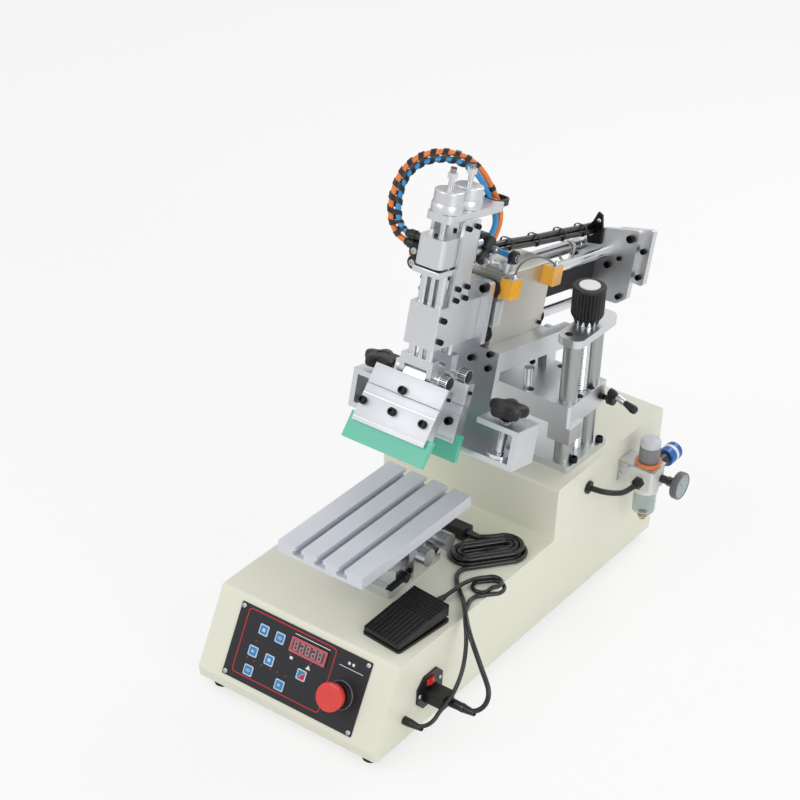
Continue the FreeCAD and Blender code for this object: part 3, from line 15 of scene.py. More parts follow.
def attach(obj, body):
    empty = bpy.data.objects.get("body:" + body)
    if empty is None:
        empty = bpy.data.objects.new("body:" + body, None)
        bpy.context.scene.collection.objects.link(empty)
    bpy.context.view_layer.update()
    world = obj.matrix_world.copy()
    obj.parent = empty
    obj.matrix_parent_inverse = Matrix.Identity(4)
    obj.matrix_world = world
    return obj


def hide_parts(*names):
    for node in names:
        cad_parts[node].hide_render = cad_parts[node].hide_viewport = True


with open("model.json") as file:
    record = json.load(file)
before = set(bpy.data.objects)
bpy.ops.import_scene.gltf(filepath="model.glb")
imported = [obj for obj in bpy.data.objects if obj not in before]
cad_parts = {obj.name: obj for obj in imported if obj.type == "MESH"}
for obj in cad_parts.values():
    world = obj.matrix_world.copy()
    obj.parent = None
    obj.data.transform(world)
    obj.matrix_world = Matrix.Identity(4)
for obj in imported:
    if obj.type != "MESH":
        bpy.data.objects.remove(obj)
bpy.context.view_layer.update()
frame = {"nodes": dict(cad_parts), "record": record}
scene = bpy.context.scene
MM = 0.001
SHRINK = Matrix.Diagonal((MM, MM, MM, 1))
X_WAY = Vector((1, 0, 0))
Y_WAY = Vector((0, 1, 0))
Z_WAY = Vector((0, 0, 1))
cabinet_middle = 128.0
front_fold = -26.2
lower_edge = 14.0
panel_foot = 18.6
slope_angle = math.atan2(111.8, 53.6)
hinge_back = 557.4
hinge_up = 372.1
head_tilt = math.radians(12)
deck_up = 130.4


def along(x, back, up):
    """A place from the middle of the cabinet, back from its front fold and up from its lower edge."""
    return Vector((x + cabinet_middle, back + front_fold, up + lower_edge)) * MM


def on_panel(x, up, high):
    """A place on the sloped panel: across, up the slope and out of it."""
    back = up * math.cos(slope_angle) - high * math.sin(slope_angle)
    return along(x, back, panel_foot + up * math.sin(slope_angle) + high * math.cos(slope_angle))


def in_head(x, back, up):
    """A place in the tilted head, from its hinge: across, back and up."""
    rear = back * math.cos(head_tilt) + up * math.sin(head_tilt)
    high = up * math.cos(head_tilt) - back * math.sin(head_tilt)
    return along(x, hinge_back + rear, hinge_up + high)


def head_way(x, back, up):
    """A direction in the tilted head."""
    return (in_head(x, back, up) - in_head(0, 0, 0)).normalized()


# %% [markdown]
# The camera stands where the photograph's did. A wide lens close by would make the front of the
# cabinet look too large, so the place, the turn and the lens all come from matching the corners of
# the cabinet. The object sits a little left of the picture's middle, and the lens shift keeps it there.

# %% The camera
camera_turn = math.radians(35.742)
camera_drop = math.radians(31.582)
camera_roll = math.radians(2.035)
camera_place = (1.52885, -1.83900, 1.90783)
back_way = Vector((
    math.sin(camera_turn) * math.cos(camera_drop), -math.cos(camera_turn) * math.cos(camera_drop),
    math.sin(camera_drop)))
right_way = Vector((math.cos(camera_turn), math.sin(camera_turn), 0))
up_way = back_way.cross(right_way)
camera_x = right_way * math.cos(camera_roll) + up_way * math.sin(camera_roll)
camera_y = up_way * math.cos(camera_roll) - right_way * math.sin(camera_roll)
camera_data = bpy.data.cameras.new("camera")
camera = bpy.data.objects.new("camera", camera_data)
scene.collection.objects.link(camera)
camera.matrix_world = Matrix((
    (camera_x.x, camera_y.x, back_way.x, camera_place[0]),
    (camera_x.y, camera_y.y, back_way.y, camera_place[1]),
    (camera_x.z, camera_y.z, back_way.z, camera_place[2]), (0, 0, 0, 1)))
camera_data.sensor_width = 36.0
camera_data.lens = 97.97
camera_data.shift_x = 0.0598
camera_data.shift_y = 0.0202
camera_data.clip_end = 20.0
scene.camera = camera
scene.view_settings.view_transform = "Standard"
print("camera lens", camera_data.lens)

# %% [markdown]
# Finishes are written as sums. A small class wraps a shader socket so that plain signs such as +
# and * add the maths nodes, and a second one holds one material, its shader and its coordinates.
# This keeps each finish a few readable lines, with the same names a paint shop would use.

# %% Shader maths
class Value:
    """A socket that Python's signs can work on."""

    def __init__(self, tree, socket):
        self.tree = tree
        self.socket = socket

    def join(self, operation, first, second):
        node = self.tree.nodes.new("ShaderNodeMath")
        node.operation = operation
        for place, item in enumerate((first, second)):
            if isinstance(item, Value):
                self.tree.links.new(item.socket, node.inputs[place])
            else:
                node.inputs[place].default_value = item
        return Value(self.tree, node.outputs[0])

    def __add__(self, other):
        return self.join("ADD", self, other)

    def __mul__(self, other):
        return self.join("MULTIPLY", self, other)

    __radd__ = __add__
    __rmul__ = __mul__


class Finish:
    """One material: its shader, its coordinates and the nodes that change it over a surface."""

    def __init__(self, name, colour, roughness, metal=0.0):
        self.material = bpy.data.materials.new(name)
        self.material.use_nodes = True
        self.material.diffuse_color = colour
        self.tree = self.material.node_tree
        self.shader = self.tree.nodes["Principled BSDF"]
        self.colour = colour
        self.set(Base_Color=colour, Roughness=roughness, Metallic=metal)

    def plug(self, socket, value):
        if isinstance(value, Value):
            self.tree.links.new(value.socket, socket)
        elif isinstance(value, bpy.types.NodeSocket):
            self.tree.links.new(value, socket)
        else:
            socket.default_value = value

    def fill(self, node, sockets):
        for key, value in sockets.items():
            self.plug(node.inputs[key.replace("_", " ")], value)
        return node

    def set(self, **sockets):
        self.fill(self.shader, sockets)

    def node(self, kind, settings=None, **sockets):
        """A node of a type: its settings first, then the values or links of its sockets."""
        made = self.tree.nodes.new(kind)
        for key, value in (settings or {}).items():
            setattr(made, key, value)
        return self.fill(made, sockets)

    def noise(self, scale, stretch=(1, 1, 1), detail=2.0):
        """A cloud in the piece's own coordinates, stretched."""
        coordinates = self.node("ShaderNodeTexCoord").outputs["Object"]
        mapped = self.node("ShaderNodeMapping", Vector=coordinates, Scale=stretch).outputs["Vector"]
        cloud = self.node("ShaderNodeTexNoise", Vector=mapped, Scale=scale, Detail=detail)
        return Value(self.tree, cloud.outputs["Fac"])

    def tint(self, share, light, dark):
        """The base colour moves between two shades of it."""
        made = self.node("ShaderNodeMix", {"data_type": "RGBA"}, Factor=share)
        made.inputs[6].default_value = tuple(min(1.0, c * light) for c in self.colour[:3]) + (1,)
        made.inputs[7].default_value = tuple(c * dark for c in self.colour[:3]) + (1,)
        self.set(Base_Color=made.outputs[2])

    def bump(self, height, depth, strength):
        made = self.node("ShaderNodeBump", Height=height, Distance=depth, Strength=strength)
        self.set(Normal=made.outputs["Normal"])


def paint(red, green, blue):
    """A colour as read from the photograph, as the shader needs it."""
    parts = []
    for level in (red, green, blue):
        share = level / 255
        parts.append(share / 12.92 if share <= 0.04045 else ((share + 0.055) / 1.055) ** 2.4)
    return (*parts, 1.0)


finishes = {}
print("middle grey as the shader needs it", round(paint(128, 128, 128)[0], 3))

# %% [markdown]
# The cabinet is powder coated in a warm cream. Baked powder is not a mirror: it has a soft shine
# and a fine orange peel, a wave under a millimetre deep in light. Two noises do it, one broad and
# faint for the colour, and one fine for the bump.

# %% Cream powder coat
cream = Finish("cream_powder_coat", paint(236, 236, 219), 0.38)
cream.tint(cream.noise(6.0, detail=3.0), 1.01, 0.975)
cream.set(Roughness=0.34 + 0.10 * cream.noise(300.0))
cream.bump(cream.noise(520.0, detail=3.0), 0.00025, 0.35)
finishes["cream"] = cream.material
print("made", cream.material.name)

# %% [markdown]
# Most of the machine is milled and brushed aluminium. A cutter leaves fine parallel lines, so the
# noise is pulled long along one direction and feeds the roughness and a faint bump. The bright parts
# of the column are ground steel, with the same idea but a much tighter shine. The table and the
# squeegee jaws are anodised, so they count as metal only in part.

# %% Metals
EVEN = (1.0, 1.0, 1.0)
ACROSS = (0.05, 1.0, 1.0)
UPRIGHT = (1.0, 1.0, 0.05)


def metal_finish(key, name, rgb, roughness, spread, stretch, depth=0.00006, light=1.04, dark=0.88, metal=1.0):
    made = Finish(name, paint(*rgb), roughness, metal)
    lines = made.noise(900.0, stretch, 3.0)
    made.tint(0.6 * lines + 0.4 * made.noise(14.0), light, dark)
    made.set(Roughness=roughness - spread / 2 + spread * lines)
    made.bump(lines, depth, 0.5)
    finishes[key] = made.material


metal_finish("aluminium", "milled_aluminium", (224, 226, 229), 0.36, 0.14, (1.0, 0.05, 1.0))
metal_finish("steel", "turned_steel", (205, 207, 210), 0.28, 0.12, (0.06, 1.0, 1.0))
metal_finish("chrome", "ground_chrome", (232, 234, 237), 0.12, 0.06, UPRIGHT, 0.00002)
metal_finish("zinc_plate", "zinc_plate", (196, 198, 200), 0.40, 0.16, EVEN)
metal_finish("housing_beige", "housing_skin", (214, 213, 204), 0.44, 0.10, (1.0, 0.04, 1.0), 0.00004)
metal_finish("jaws", "brushed_jaw", (222, 224, 229), 0.52, 0.1, ACROSS, 0.00004, 1.02, 0.94, 0.6)
metal_finish("table", "ground_table", (226, 229, 236), 0.5, 0.1, ACROSS, 0.00004, 1.02, 0.94, 0.5)
metal_finish("posts", "satin_posts", (176, 180, 178), 0.34, 0.1, UPRIGHT)
metal_finish("brass", "brass", (196, 160, 92), 0.28, 0.1, (1.0, 1.0, 0.1))
metal_finish("black_steel", "black_oxide", (44, 44, 47), 0.34, 0.12, EVEN, 0.00004)
print("finishes with the metals", len(finishes))

# %% [markdown]
# Black pieces differ in how they catch light. Black oxide on screws is a dark metal with a sheen,
# moulded plastic has a fine spark-eroded grain, and rubber is the dullest and softest. Each is one
# short rule with its own grain.

# %% Blacks and rubbers
def grain_finish(key, name, rgb, roughness, grain, depth, spread=0.12, coat=0.0, light=1.25, dark=0.8):
    made = Finish(name, paint(*rgb), roughness)
    pores = made.noise(grain, detail=3.0)
    made.tint(made.noise(30.0), light, dark)
    made.set(Roughness=roughness - spread / 2 + spread * pores, Coat_Weight=coat, Coat_Roughness=0.2)
    made.bump(pores, depth, 0.6)
    finishes[key] = made.material


grain_finish("black_plastic", "moulded_black", (19, 19, 21), 0.36, 1400.0, 0.00015)
grain_finish("knob_black", "knob_black", (13, 14, 17), 0.44, 1200.0, 0.00008)
grain_finish("stop_black", "stop_collar", (30, 30, 30), 0.4, 1200.0, 0.0001)
grain_finish("gauge_black", "gauge_case", (24, 24, 25), 0.22, 500.0, 0.00003, 0.06, 0.4)
grain_finish("foot_rubber", "foot_rubber", (28, 28, 28), 0.75, 700.0, 0.0002)
grain_finish("tube_black", "tube_black", (24, 24, 26), 0.34, 900.0, 0.00005)
grain_finish("cord_black", "cord_jacket", (13, 13, 15), 0.28, 800.0, 0.00006, 0.1, 0.3)
grain_finish("panel_black", "panel_film", (27, 28, 33), 0.5, 1600.0, 0.00008, 0.08, 0.0, 1.1, 0.92)
grain_finish("circuit_green", "circuit_lacquer", (40, 110, 66), 0.3, 400.0, 0.00005, 0.1, 0.5)
# The darkest black is painted shade: the dark inside holes and slots, under the cylinder block and in the
# beam.
grain_finish("recess", "painted_shade_black", (10, 10, 11), 0.6, 900.0, 0.00005)
print("finishes with the blacks", len(finishes))

# %% [markdown]
# The coloured pieces are glossy plastics and one soft one: the printing blade is a clear green
# polyurethane that glows where light passes its edge. A little light under the skin gives that glow.

# %% Colours
def gloss_finish(key, name, rgb, roughness=0.24, coat=0.4, under=0.0):
    made = Finish(name, paint(*rgb), roughness)
    made.tint(made.noise(18.0), 1.02, 0.97)
    made.set(Roughness=roughness + 0.06 * made.noise(220.0), Coat_Weight=coat, Coat_Roughness=0.12)
    made.set(Subsurface_Weight=under, Subsurface_Radius=(0.004, 0.008, 0.006), Subsurface_Scale=1.0)
    made.bump(made.noise(160.0), 0.00002, 0.08)
    finishes[key] = made.material


gloss_finish("stop_red", "stop_red", (226, 62, 56), 0.3, 0.3)
gloss_finish("switch_red", "switch_red", (222, 40, 30))
gloss_finish("display_red", "display_window", (96, 40, 46), 0.16, 0.8)
gloss_finish("key_blue", "key_blue", (58, 132, 190), 0.34, 0.2)
gloss_finish("valve_blue", "valve_blue", (38, 110, 196))
gloss_finish("sensor_orange", "sensor_orange", (255, 182, 44))
gloss_finish("hose_orange", "hose_orange", (240, 128, 48), 0.3, 0.3)
gloss_finish("blade_green", "blade_green", (96, 196, 168), 0.3, 0.2, 0.25)
gloss_finish("regulator_grey", "regulator_body", (226, 226, 222), 0.36, 0.2)
gloss_finish("hose_blue", "hose_blue", (44, 150, 214), 0.28, 0.3)
gloss_finish("ring_orange", "ring_orange", (222, 128, 66), 0.3, 0.3)
gloss_finish("white", "white_print", (236, 238, 240), 0.4, 0.1)
gloss_finish("red", "red_print", (208, 34, 44), 0.4, 0.1)
gloss_finish("knob_grey", "knob_grey", (132, 132, 136), 0.42, 0.2)
gloss_finish("pale_grey", "pale_grey", (206, 206, 212), 0.4, 0.2)
gloss_finish("window_rim", "window_rim", (196, 84, 96), 0.24, 0.5)
gloss_finish("digit_lit", "digit_lit", (176, 158, 162), 0.3, 0.3)
gloss_finish("pale_blue", "key_edge", (190, 216, 240), 0.34, 0.2)
gloss_finish("lamp_red", "lamp_red", (122, 38, 42), 0.2, 0.5)
gloss_finish("ring_grey", "collar_grey", (96, 98, 102), 0.36, 0.2)

clear = Finish("bowl_clear", paint(222, 230, 232), 0.08)
clear.set(Roughness=0.05 + 0.08 * clear.noise(60.0), Transmission_Weight=0.85, IOR=1.2)
finishes["bowl_clear"] = clear.material
print("finishes in all", len(finishes))

# %% [markdown]
# Every CAD node keeps its mesh and takes the finish of its slot in the record, and two nodes have a
# finish of their own. A node with more than one material takes that finish in every slot.

# %% Dress the nodes
node_look = {"column_posts": "posts", "t_slot_table": "table"}
for part in frame["record"]["subparts"]:
    node_look.setdefault(part["node"], part["material_slot"])
for node, piece in frame["nodes"].items():
    finish = finishes[node_look[node]]
    if not piece.data.materials:
        piece.data.materials.append(finish)
    for index in range(len(piece.material_slots)):
        piece.material_slots[index].material = finish
print("dressed", len(node_look))

# %% [markdown]
# A cord is one smooth line through the places of its route. The line is a spline that passes near
# its points without corners, as a real lead does, and a round bevel gives it its thickness. The
# hanks of the two cords are more points of the same line, so nothing is glued together.

# %% Cord helpers
def linked(name, data):
    """A new object in the scene."""
    piece = bpy.data.objects.new(name, data)
    scene.collection.objects.link(piece)
    return piece


def finish_piece(piece, body):
    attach(piece, body)
    return piece


def line(name, points, diameter, slot, body, look=None, sides=6):
    """A smooth round cord through its route's points."""
    curve = bpy.data.curves.new(name, "CURVE")
    curve.dimensions = "3D"
    spline = curve.splines.new("NURBS")
    spline.points.add(len(points) - 1)
    for item, place in zip(spline.points, points):
        item.co = (*place, 1.0)
    spline.order_u = 3
    spline.use_endpoint_u = True
    spline.resolution_u = 8
    curve.bevel_depth = diameter * MM / 2
    curve.bevel_resolution = sides
    curve.use_fill_caps = True
    curve.materials.append(finishes[look or slot])
    return finish_piece(linked(name, curve), body)


def hank(centre, angle, run, radius, diameter, turns):
    """Points of loops that wind in on the deck, climb one layer and wind out again."""
    loop_gap = 0.6
    bulge = 1.035
    climb_start = 0.5
    way = Vector((math.cos(math.radians(angle)), math.sin(math.radians(angle)), 0))
    across = Vector((-way.y, way.x, 0))
    step = diameter + loop_gap
    low = deck_up + diameter / 2
    points = []

    def put(u, v, high):
        flat = way * u + across * v
        points.append(along(centre[0] + flat.x, centre[1] + flat.y, low + high))

    def straight(end, v, high):
        put(-end * run / 2, v, high)
        put(end * run / 2, v, high)

    def turn(end, start_v, end_v, high):
        size = (end_v - start_v) / 2
        for spot in range(6):
            here = math.radians(15 + 30 * spot)
            reach = abs(size) * bulge * math.sin(here)
            put(end * (run / 2 + reach), (start_v + end_v) / 2 - size * bulge * math.cos(here), high)

    rights = [-radius + step * lap for lap in range(turns + 1)]
    lefts = [radius - step * lap for lap in range(turns)]
    for lap in range(turns):
        straight(1, rights[lap], 0)
        turn(1, rights[lap], lefts[lap], 0)
        straight(-1, lefts[lap], 0)
        turn(-1, lefts[lap], rights[lap + 1], 0)
    put(-run / 2, rights[turns], 0)
    put(-run / 6, rights[turns], climb_start)
    put(run / 6, rights[turns], step - climb_start)
    put(run / 2, rights[turns], step)
    for lap in range(turns - 1, 0, -1):
        turn(1, rights[lap + 1], lefts[lap], step)
        straight(-1, lefts[lap], step)
        turn(-1, lefts[lap], rights[lap], step)
        straight(1, rights[lap], step)
    turn(1, rights[1], lefts[0], step)
    put(run / 2, lefts[0], step)
    return points, way


# %% The mains lead and the foot switch lead
mains_route = [
    (208.0, 122.7, 49.7), (219.4, 122.7, 49.7), (231.5, 126.4, 56.6), (237.3, 132.6, 68.2),
    (235.1, 139.3, 80.8), (226.0, 144.3, 91.6), (216.0, 148.3, 102.2), (206.8, 151.9, 113.6),
    (197.2, 155.9, 124.4), (186.7, 161.9, 133.4), (176.1, 170.7, 139.2), (165.8, 181.3, 142.2),
    (156.0, 192.6, 143.2), (146.6, 204.3, 141.8), (137.4, 215.9, 138.7), (127.9, 227.0, 135.5),
    (117.2, 237.5, 133.9), (106.1, 247.6, 133.9), (96.4, 259.1, 133.9), (89.4, 271.7, 133.9),
]
mains_tail = [(71.5, 356.5, 140.9), (60.5, 354.6, 139.9), (50.0, 354.8, 139.4)]
mains_diameter = 7.0
mains_lead_in = 14.4
mains_lead_out = 10.5
mains_loops, mains_way = hank((95.0, 337.0), 53.0, 58.0, 27.0, mains_diameter, 3)
mains_points = [along(*place) for place in mains_route]
mains_points += [mains_loops[0] - mains_way * mains_lead_in * MM] + mains_loops
mains_points.append(mains_points[-1] - mains_way * mains_lead_out * MM)
mains_points += [along(*place) for place in mains_tail]
mains_cord = line("mains_lead", mains_points, mains_diameter, "cord_black", "cabinet")
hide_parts("mains_cord", "mains_hank")

pedal_route = [
    (160.0, 67.7, 35.0), (172.4, 67.7, 35.0), (182.8, 73.5, 38.4), (187.8, 83.3, 44.1),
    (187.4, 94.0, 50.3), (188.7, 105.8, 56.1), (189.7, 117.5, 62.0), (189.0, 128.4, 69.3),
    (187.7, 138.6, 77.5), (185.8, 147.7, 86.8), (183.2, 155.3, 97.2), (179.7, 162.5, 107.6),
    (175.0, 169.9, 117.4), (168.8, 177.5, 126.2), (161.2, 186.3, 132.1), (153.4, 196.7, 134.1),
    (147.3, 208.3, 133.9), (142.3, 220.5, 133.4), (138.0, 232.1, 133.4),
]
pedal_tail = [
    (122.1, 271.5, 140.0), (117.6, 259.3, 140.7), (114.9, 245.2, 141.4), (113.9, 230.8, 141.4),
    (112.9, 216.5, 141.0), (111.6, 202.7, 140.4),
]
pedal_x = 104.0
pedal_back = 130.0
pedal_turn = math.radians(-6.0)
pedal_reach = 104.0 / 2 + 10.0 - 2.5
pedal_tail.append((
    pedal_x - pedal_reach * math.sin(pedal_turn), pedal_back + pedal_reach * math.cos(pedal_turn), 140.4))
pedal_diameter = 6.0
pedal_lead_in = 12.4
pedal_loops, pedal_way = hank((141.0, 270.0), 50.0, 16.0, 15.5, pedal_diameter, 1)
pedal_points = [along(*place) for place in pedal_route]
pedal_points += [pedal_loops[0] - pedal_way * pedal_lead_in * MM] + pedal_loops
pedal_points += [along(*place) for place in pedal_tail]
pedal_cord = line("foot_lead", pedal_points, pedal_diameter, "cord_black", "cabinet")
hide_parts("pedal_cord", "pedal_hank")
along(*mains_route[0])
along(*pedal_route[0])
print("cord points", len(mains_points), len(pedal_points))

# %% [markdown]
# Two air hoses leave the left of the squeegee cylinders, rise in a loop over the top plate and come
# down behind it. They run side by side, and a black plastic spiral holds them together. The spiral
# follows the line read from both hoses, so it stays on them wherever they bend.

# %% Head hoses
outer_route = [
    (-38.0, -284.0, 158.7), (-54.0, -284.0, 158.7), (-69.5, -283.2, 165.6), (-80.5, -282.2, 178.5),
    (-84.6, -283.0, 196.7), (-86.0, -281.0, 214.0), (-87.5, -272.7, 231.2), (-85.8, -263.2, 246.8),
    (-78.7, -252.4, 259.8), (-68.6, -239.7, 268.4), (-57.1, -226.0, 272.5), (-45.4, -211.8, 272.3),
    (-34.5, -197.7, 267.9), (-25.2, -184.3, 259.5), (-18.3, -172.0, 247.8), (-13.2, -161.0, 233.9),
    (-7.6, -151.8, 219.0), (-0.1, -145.3, 203.6), (5.7, -145.5, 186.3), (8.0, -152.5, 169.5),
    (9.3, -163.5, 156.6), (10.0, -179.0, 149.7), (10.0, -195.0, 149.7),
]
inner_route = [
    (-38.0, -284.0, 170.3), (-52.0, -284.0, 170.3), (-65.0, -283.1, 177.7), (-72.5, -281.6, 190.6),
    (-78.5, -275.4, 206.0), (-82.1, -268.4, 221.6), (-81.7, -260.8, 237.4), (-75.8, -251.1, 250.7),
    (-66.0, -239.6, 259.6), (-54.7, -227.0, 263.9), (-43.4, -213.6, 263.7), (-32.9, -200.2, 259.2),
    (-24.6, -187.4, 250.5), (-18.7, -175.8, 238.8), (-14.2, -165.6, 225.2), (-9.2, -156.6, 211.0),
    (-0.7, -154.7, 196.1), (8.0, -160.5, 182.1), (9.3, -168.0, 169.2), (10.0, -181.0, 161.7),
    (10.0, -195.0, 161.7),
]


def evaluated_mesh(piece):
    """A plain mesh of a piece as it stands after its modifiers or its bevel."""
    return bpy.data.meshes.new_from_object(piece.evaluated_get(bpy.context.evaluated_depsgraph_get()))


def length_of(places):
    return sum((second - first).length for first, second in zip(places, places[1:]))


def read_line(piece, count=241):
    """Evenly spaced places along a cord's own spline, without its bevel."""
    bare = piece.copy()
    bare.data = piece.data.copy()
    bare.data.bevel_depth = 0
    bare.data.use_fill_caps = False
    scene.collection.objects.link(bare)
    places = [vertex.co.copy() for vertex in evaluated_mesh(bare).vertices]
    bpy.data.objects.remove(bare)
    lengths = [0.0]
    for first, second in zip(places, places[1:]):
        lengths.append(lengths[-1] + (second - first).length)
    even = []
    spot = 0
    for step in range(count):
        target = lengths[-1] * step / (count - 1)
        while spot < len(places) - 2 and lengths[spot + 1] < target:
            spot += 1
        share = (target - lengths[spot]) / max(1e-9, lengths[spot + 1] - lengths[spot])
        even.append(places[spot].lerp(places[spot + 1], min(1.0, share)))
    return even


outer_hose = line("outer_hose", [in_head(*p) for p in outer_route], 8.0, "hose_orange", "carriage", sides=8)
inner_hose = line(
    "inner_hose", [in_head(*p) for p in inner_route], 8.0, "hose_orange", "carriage", "hose_blue", 8)
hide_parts("head_hoses")
outer_line = read_line(outer_hose)
inner_line = read_line(inner_hose)
print("hoses in metres", round(length_of(outer_line), 3), round(length_of(inner_line), 3))


def piece_from(name, mesh, look):
    """A new object from a finished bmesh, with its faces turned outward."""
    bmesh.ops.recalc_face_normals(mesh, faces=mesh.faces)
    data = bpy.data.meshes.new(name)
    mesh.to_mesh(data)
    mesh.free()
    data.materials.append(finishes[look])
    return linked(name, data)


def spiral_wrap(name, first, second, start, end, pitch, width):
    """A ribbon wound round two hoses that lie side by side."""
    ribbon_thickness = 0.0009
    beside = 0.0049
    above = 0.0052
    length = length_of(first)
    samples = int(length * (end - start) / ribbon_thickness)
    mesh = bmesh.new()
    rows = []
    for step in range(samples + 1):
        angle = 2 * math.pi * step * length * (end - start) / samples / (pitch * MM)
        pair = []
        for edge in (-0.5, 0.5):
            share = start + (end - start) * step / samples + edge * width * MM / length
            share = min(max(share, 0.0), 0.9999) * (len(first) - 1)
            spot = int(share)
            one = first[spot].lerp(first[spot + 1], share - spot)
            apart = min(second, key=lambda place: (place - one).length_squared) - one
            middle = one + apart / 2
            forward = (first[spot + 1] - first[spot]).normalized()
            apart = apart - forward * apart.dot(forward)
            side = apart.normalized()
            wide = side * (apart.length / 2 + beside) * math.cos(angle)
            pair.append(mesh.verts.new(middle + wide + side.cross(forward) * above * math.sin(angle)))
        rows.append(pair)
    for one, two in zip(rows, rows[1:]):
        mesh.faces.new((one[0], one[1], two[1], two[0]))
    piece = piece_from(name, mesh, "tube_black")
    thick = piece.modifiers.new("thickness", "SOLIDIFY")
    thick.thickness = ribbon_thickness
    thick.offset = 0
    return finish_piece(piece, "carriage")


wrap = spiral_wrap("hose_wrap", outer_line, inner_line, 0.06, 0.60, 17.0, 7.5)
in_head(*outer_route[0])
in_head(*inner_route[0])

# %% The air tube into the cabinet
air_route = [
    (145.0, 511.0, 180.0), (165.0, 511.0, 180.0), (180.6, 520.0, 178.0), (189.6, 535.6, 173.0),
    (190.0, 553.0, 167.5), (190.0, 575.0, 165.0), (190.0, 582.0, 165.0),
]
air_tube = line("air_tube", [along(*p) for p in air_route], 8.4, "tube_black", "cabinet", sides=8)
along(*air_route[0])
print("air tube points", len(air_route))

# %% [markdown]
# Round pieces are made as a lathe makes them: ring by ring along an axis. A ring may also have a rule
# for its rim, which gives flutes, lobes and flats without any cutting. This one helper makes grips,
# nuts, screw heads and gauges.

# %% Turned shapes
def turned(rings, segments=48):
    """Rings of radius, height and an optional rim rule, as points and faces in millimetres."""
    points = []
    starts = []
    for radius, high, *rule in rings:
        starts.append((len(points), 1 if radius == 0 else segments))
        if radius == 0:
            points.append(Vector((0, 0, high)))
            continue
        for step in range(segments):
            angle = 2 * math.pi * step / segments
            reach = radius * (rule[0](angle) if rule else 1.0)
            points.append(Vector((reach * math.cos(angle), reach * math.sin(angle), high)))
    faces = []
    for (low, low_count), (high, high_count) in zip(starts, starts[1:]):
        for step in range(segments):
            after = (step + 1) % segments
            if low_count == 1:
                faces.append((low, high + after, high + step))
            elif high_count == 1:
                faces.append((low + step, low + after, high))
            else:
                faces.append((low + step, low + after, high + after, high + step))
    return points, faces


def flutes(count, depth):
    """A rim rule with grooves between round lands."""
    return lambda angle: 1 - depth * (0.5 - 0.5 * math.cos(count * angle)) ** 2


def flats(angle, half=math.pi / 6):
    """The rim of a hexagon."""
    return math.cos(half) / math.cos((angle % (2 * half)) - half)


def lobes(angle):
    """The rim of a five-lobed knob."""
    return 0.855 + 0.145 * math.cos(5 * angle)


def thread(radius, low, high, pitch):
    """A threaded bar: one ring per half pitch, moving in and out."""
    rings = [(0, low), (radius, low)]
    count = int((high - low) / pitch * 2)
    for step in range(1, count):
        rings.append((radius if step % 2 else radius * 0.88, low + (high - low) * step / count))
    return rings + [(radius, high), (0, high)]


print("points in a plain disc", len(turned([(0, 0), (1, 0), (1, 1), (0, 1)])[0]))

# %% [markdown]
# A drawn shape needs a seat: a place and a way that its axis follows. A piece is one mesh made of such
# shapes, with doubled points merged and its faces turned outward, so that it lies at the origin with
# its place in its mesh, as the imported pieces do. Edges that bend more than a fixed angle stay sharp.

# %% Seats and pieces
def seat(place, way):
    """A turn and a place that put a shape drawn along Z on its seat."""
    return Matrix.Translation(place) @ way.to_track_quat("Z", "Y").to_matrix().to_4x4() @ SHRINK


def on_head(x, back, up, way=(0, 0, 1)):
    """A seat in the head's frame, with its axis along a way in that frame."""
    return seat(in_head(x, back, up), head_way(*way))


crease_angle = 32


def smooth_over(data, degrees):
    """Smooth shading, with an edge kept sharp where it bends more than this."""
    data.shade_smooth()
    data.set_sharp_from_angle(angle=math.radians(degrees))


def piece_of(name, shapes, slot, body, look=None, smooth=True):
    """One piece from shapes and their seats, in the finish of its slot or in a look of its own."""
    mesh = bmesh.new()
    for (points, faces), where in shapes:
        made = [mesh.verts.new(where @ point) for point in points]
        for face in faces:
            mesh.faces.new([made[index] for index in face])
    bmesh.ops.remove_doubles(mesh, verts=mesh.verts, dist=1e-7)
    piece = piece_from(name, mesh, look or slot)
    if smooth:
        smooth_over(piece.data, crease_angle)
    return finish_piece(piece, body)


def lathe(name, rings, segments, where, slot, body, look=None):
    """One turned piece on its seat."""
    return piece_of(name, [(turned(rings, segments), where)], slot, body, look)


def block(x0, x1, y0, y1, z0, z1, ease=0.6):
    """A block with eased edges, in millimetres."""
    mesh = bmesh.new()
    bmesh.ops.create_cube(mesh, size=1.0)
    for vertex in mesh.verts:
        vertex.co = Vector((
            x0 + (vertex.co.x + 0.5) * (x1 - x0), y0 + (vertex.co.y + 0.5) * (y1 - y0),
            z0 + (vertex.co.z + 0.5) * (z1 - z0)))
    if ease:
        bmesh.ops.bevel(mesh, geom=mesh.edges[:], offset=ease, segments=2, affect="EDGES", profile=0.5)
    mesh.verts.index_update()
    points = [vertex.co.copy() for vertex in mesh.verts]
    faces = [tuple(vertex.index for vertex in face.verts) for face in mesh.faces]
    mesh.free()
    return points, faces


def head_seat(turn=0.0):
    """The head's own frame as one placing, for shapes drawn in its millimetres."""
    lean = Matrix.Rotation(-head_tilt, 4, "X")
    return Matrix.Translation(in_head(0, 0, 0)) @ lean @ SHRINK @ Matrix.Rotation(math.radians(turn), 4, "X")


print("faces in an eased block", len(block(0, 1, 0, 1, 0, 1, 0.1)[1]))

# %% [markdown]
# The lift knob on top of the right column has a fluted black grip, a pale disc set in its top and a
# bright toothed base. Under it the lead screw shows its thread between the two posts. The clamp knobs
# have five soft lobes, so the fingers find a hold, and a bright threaded stem under them.

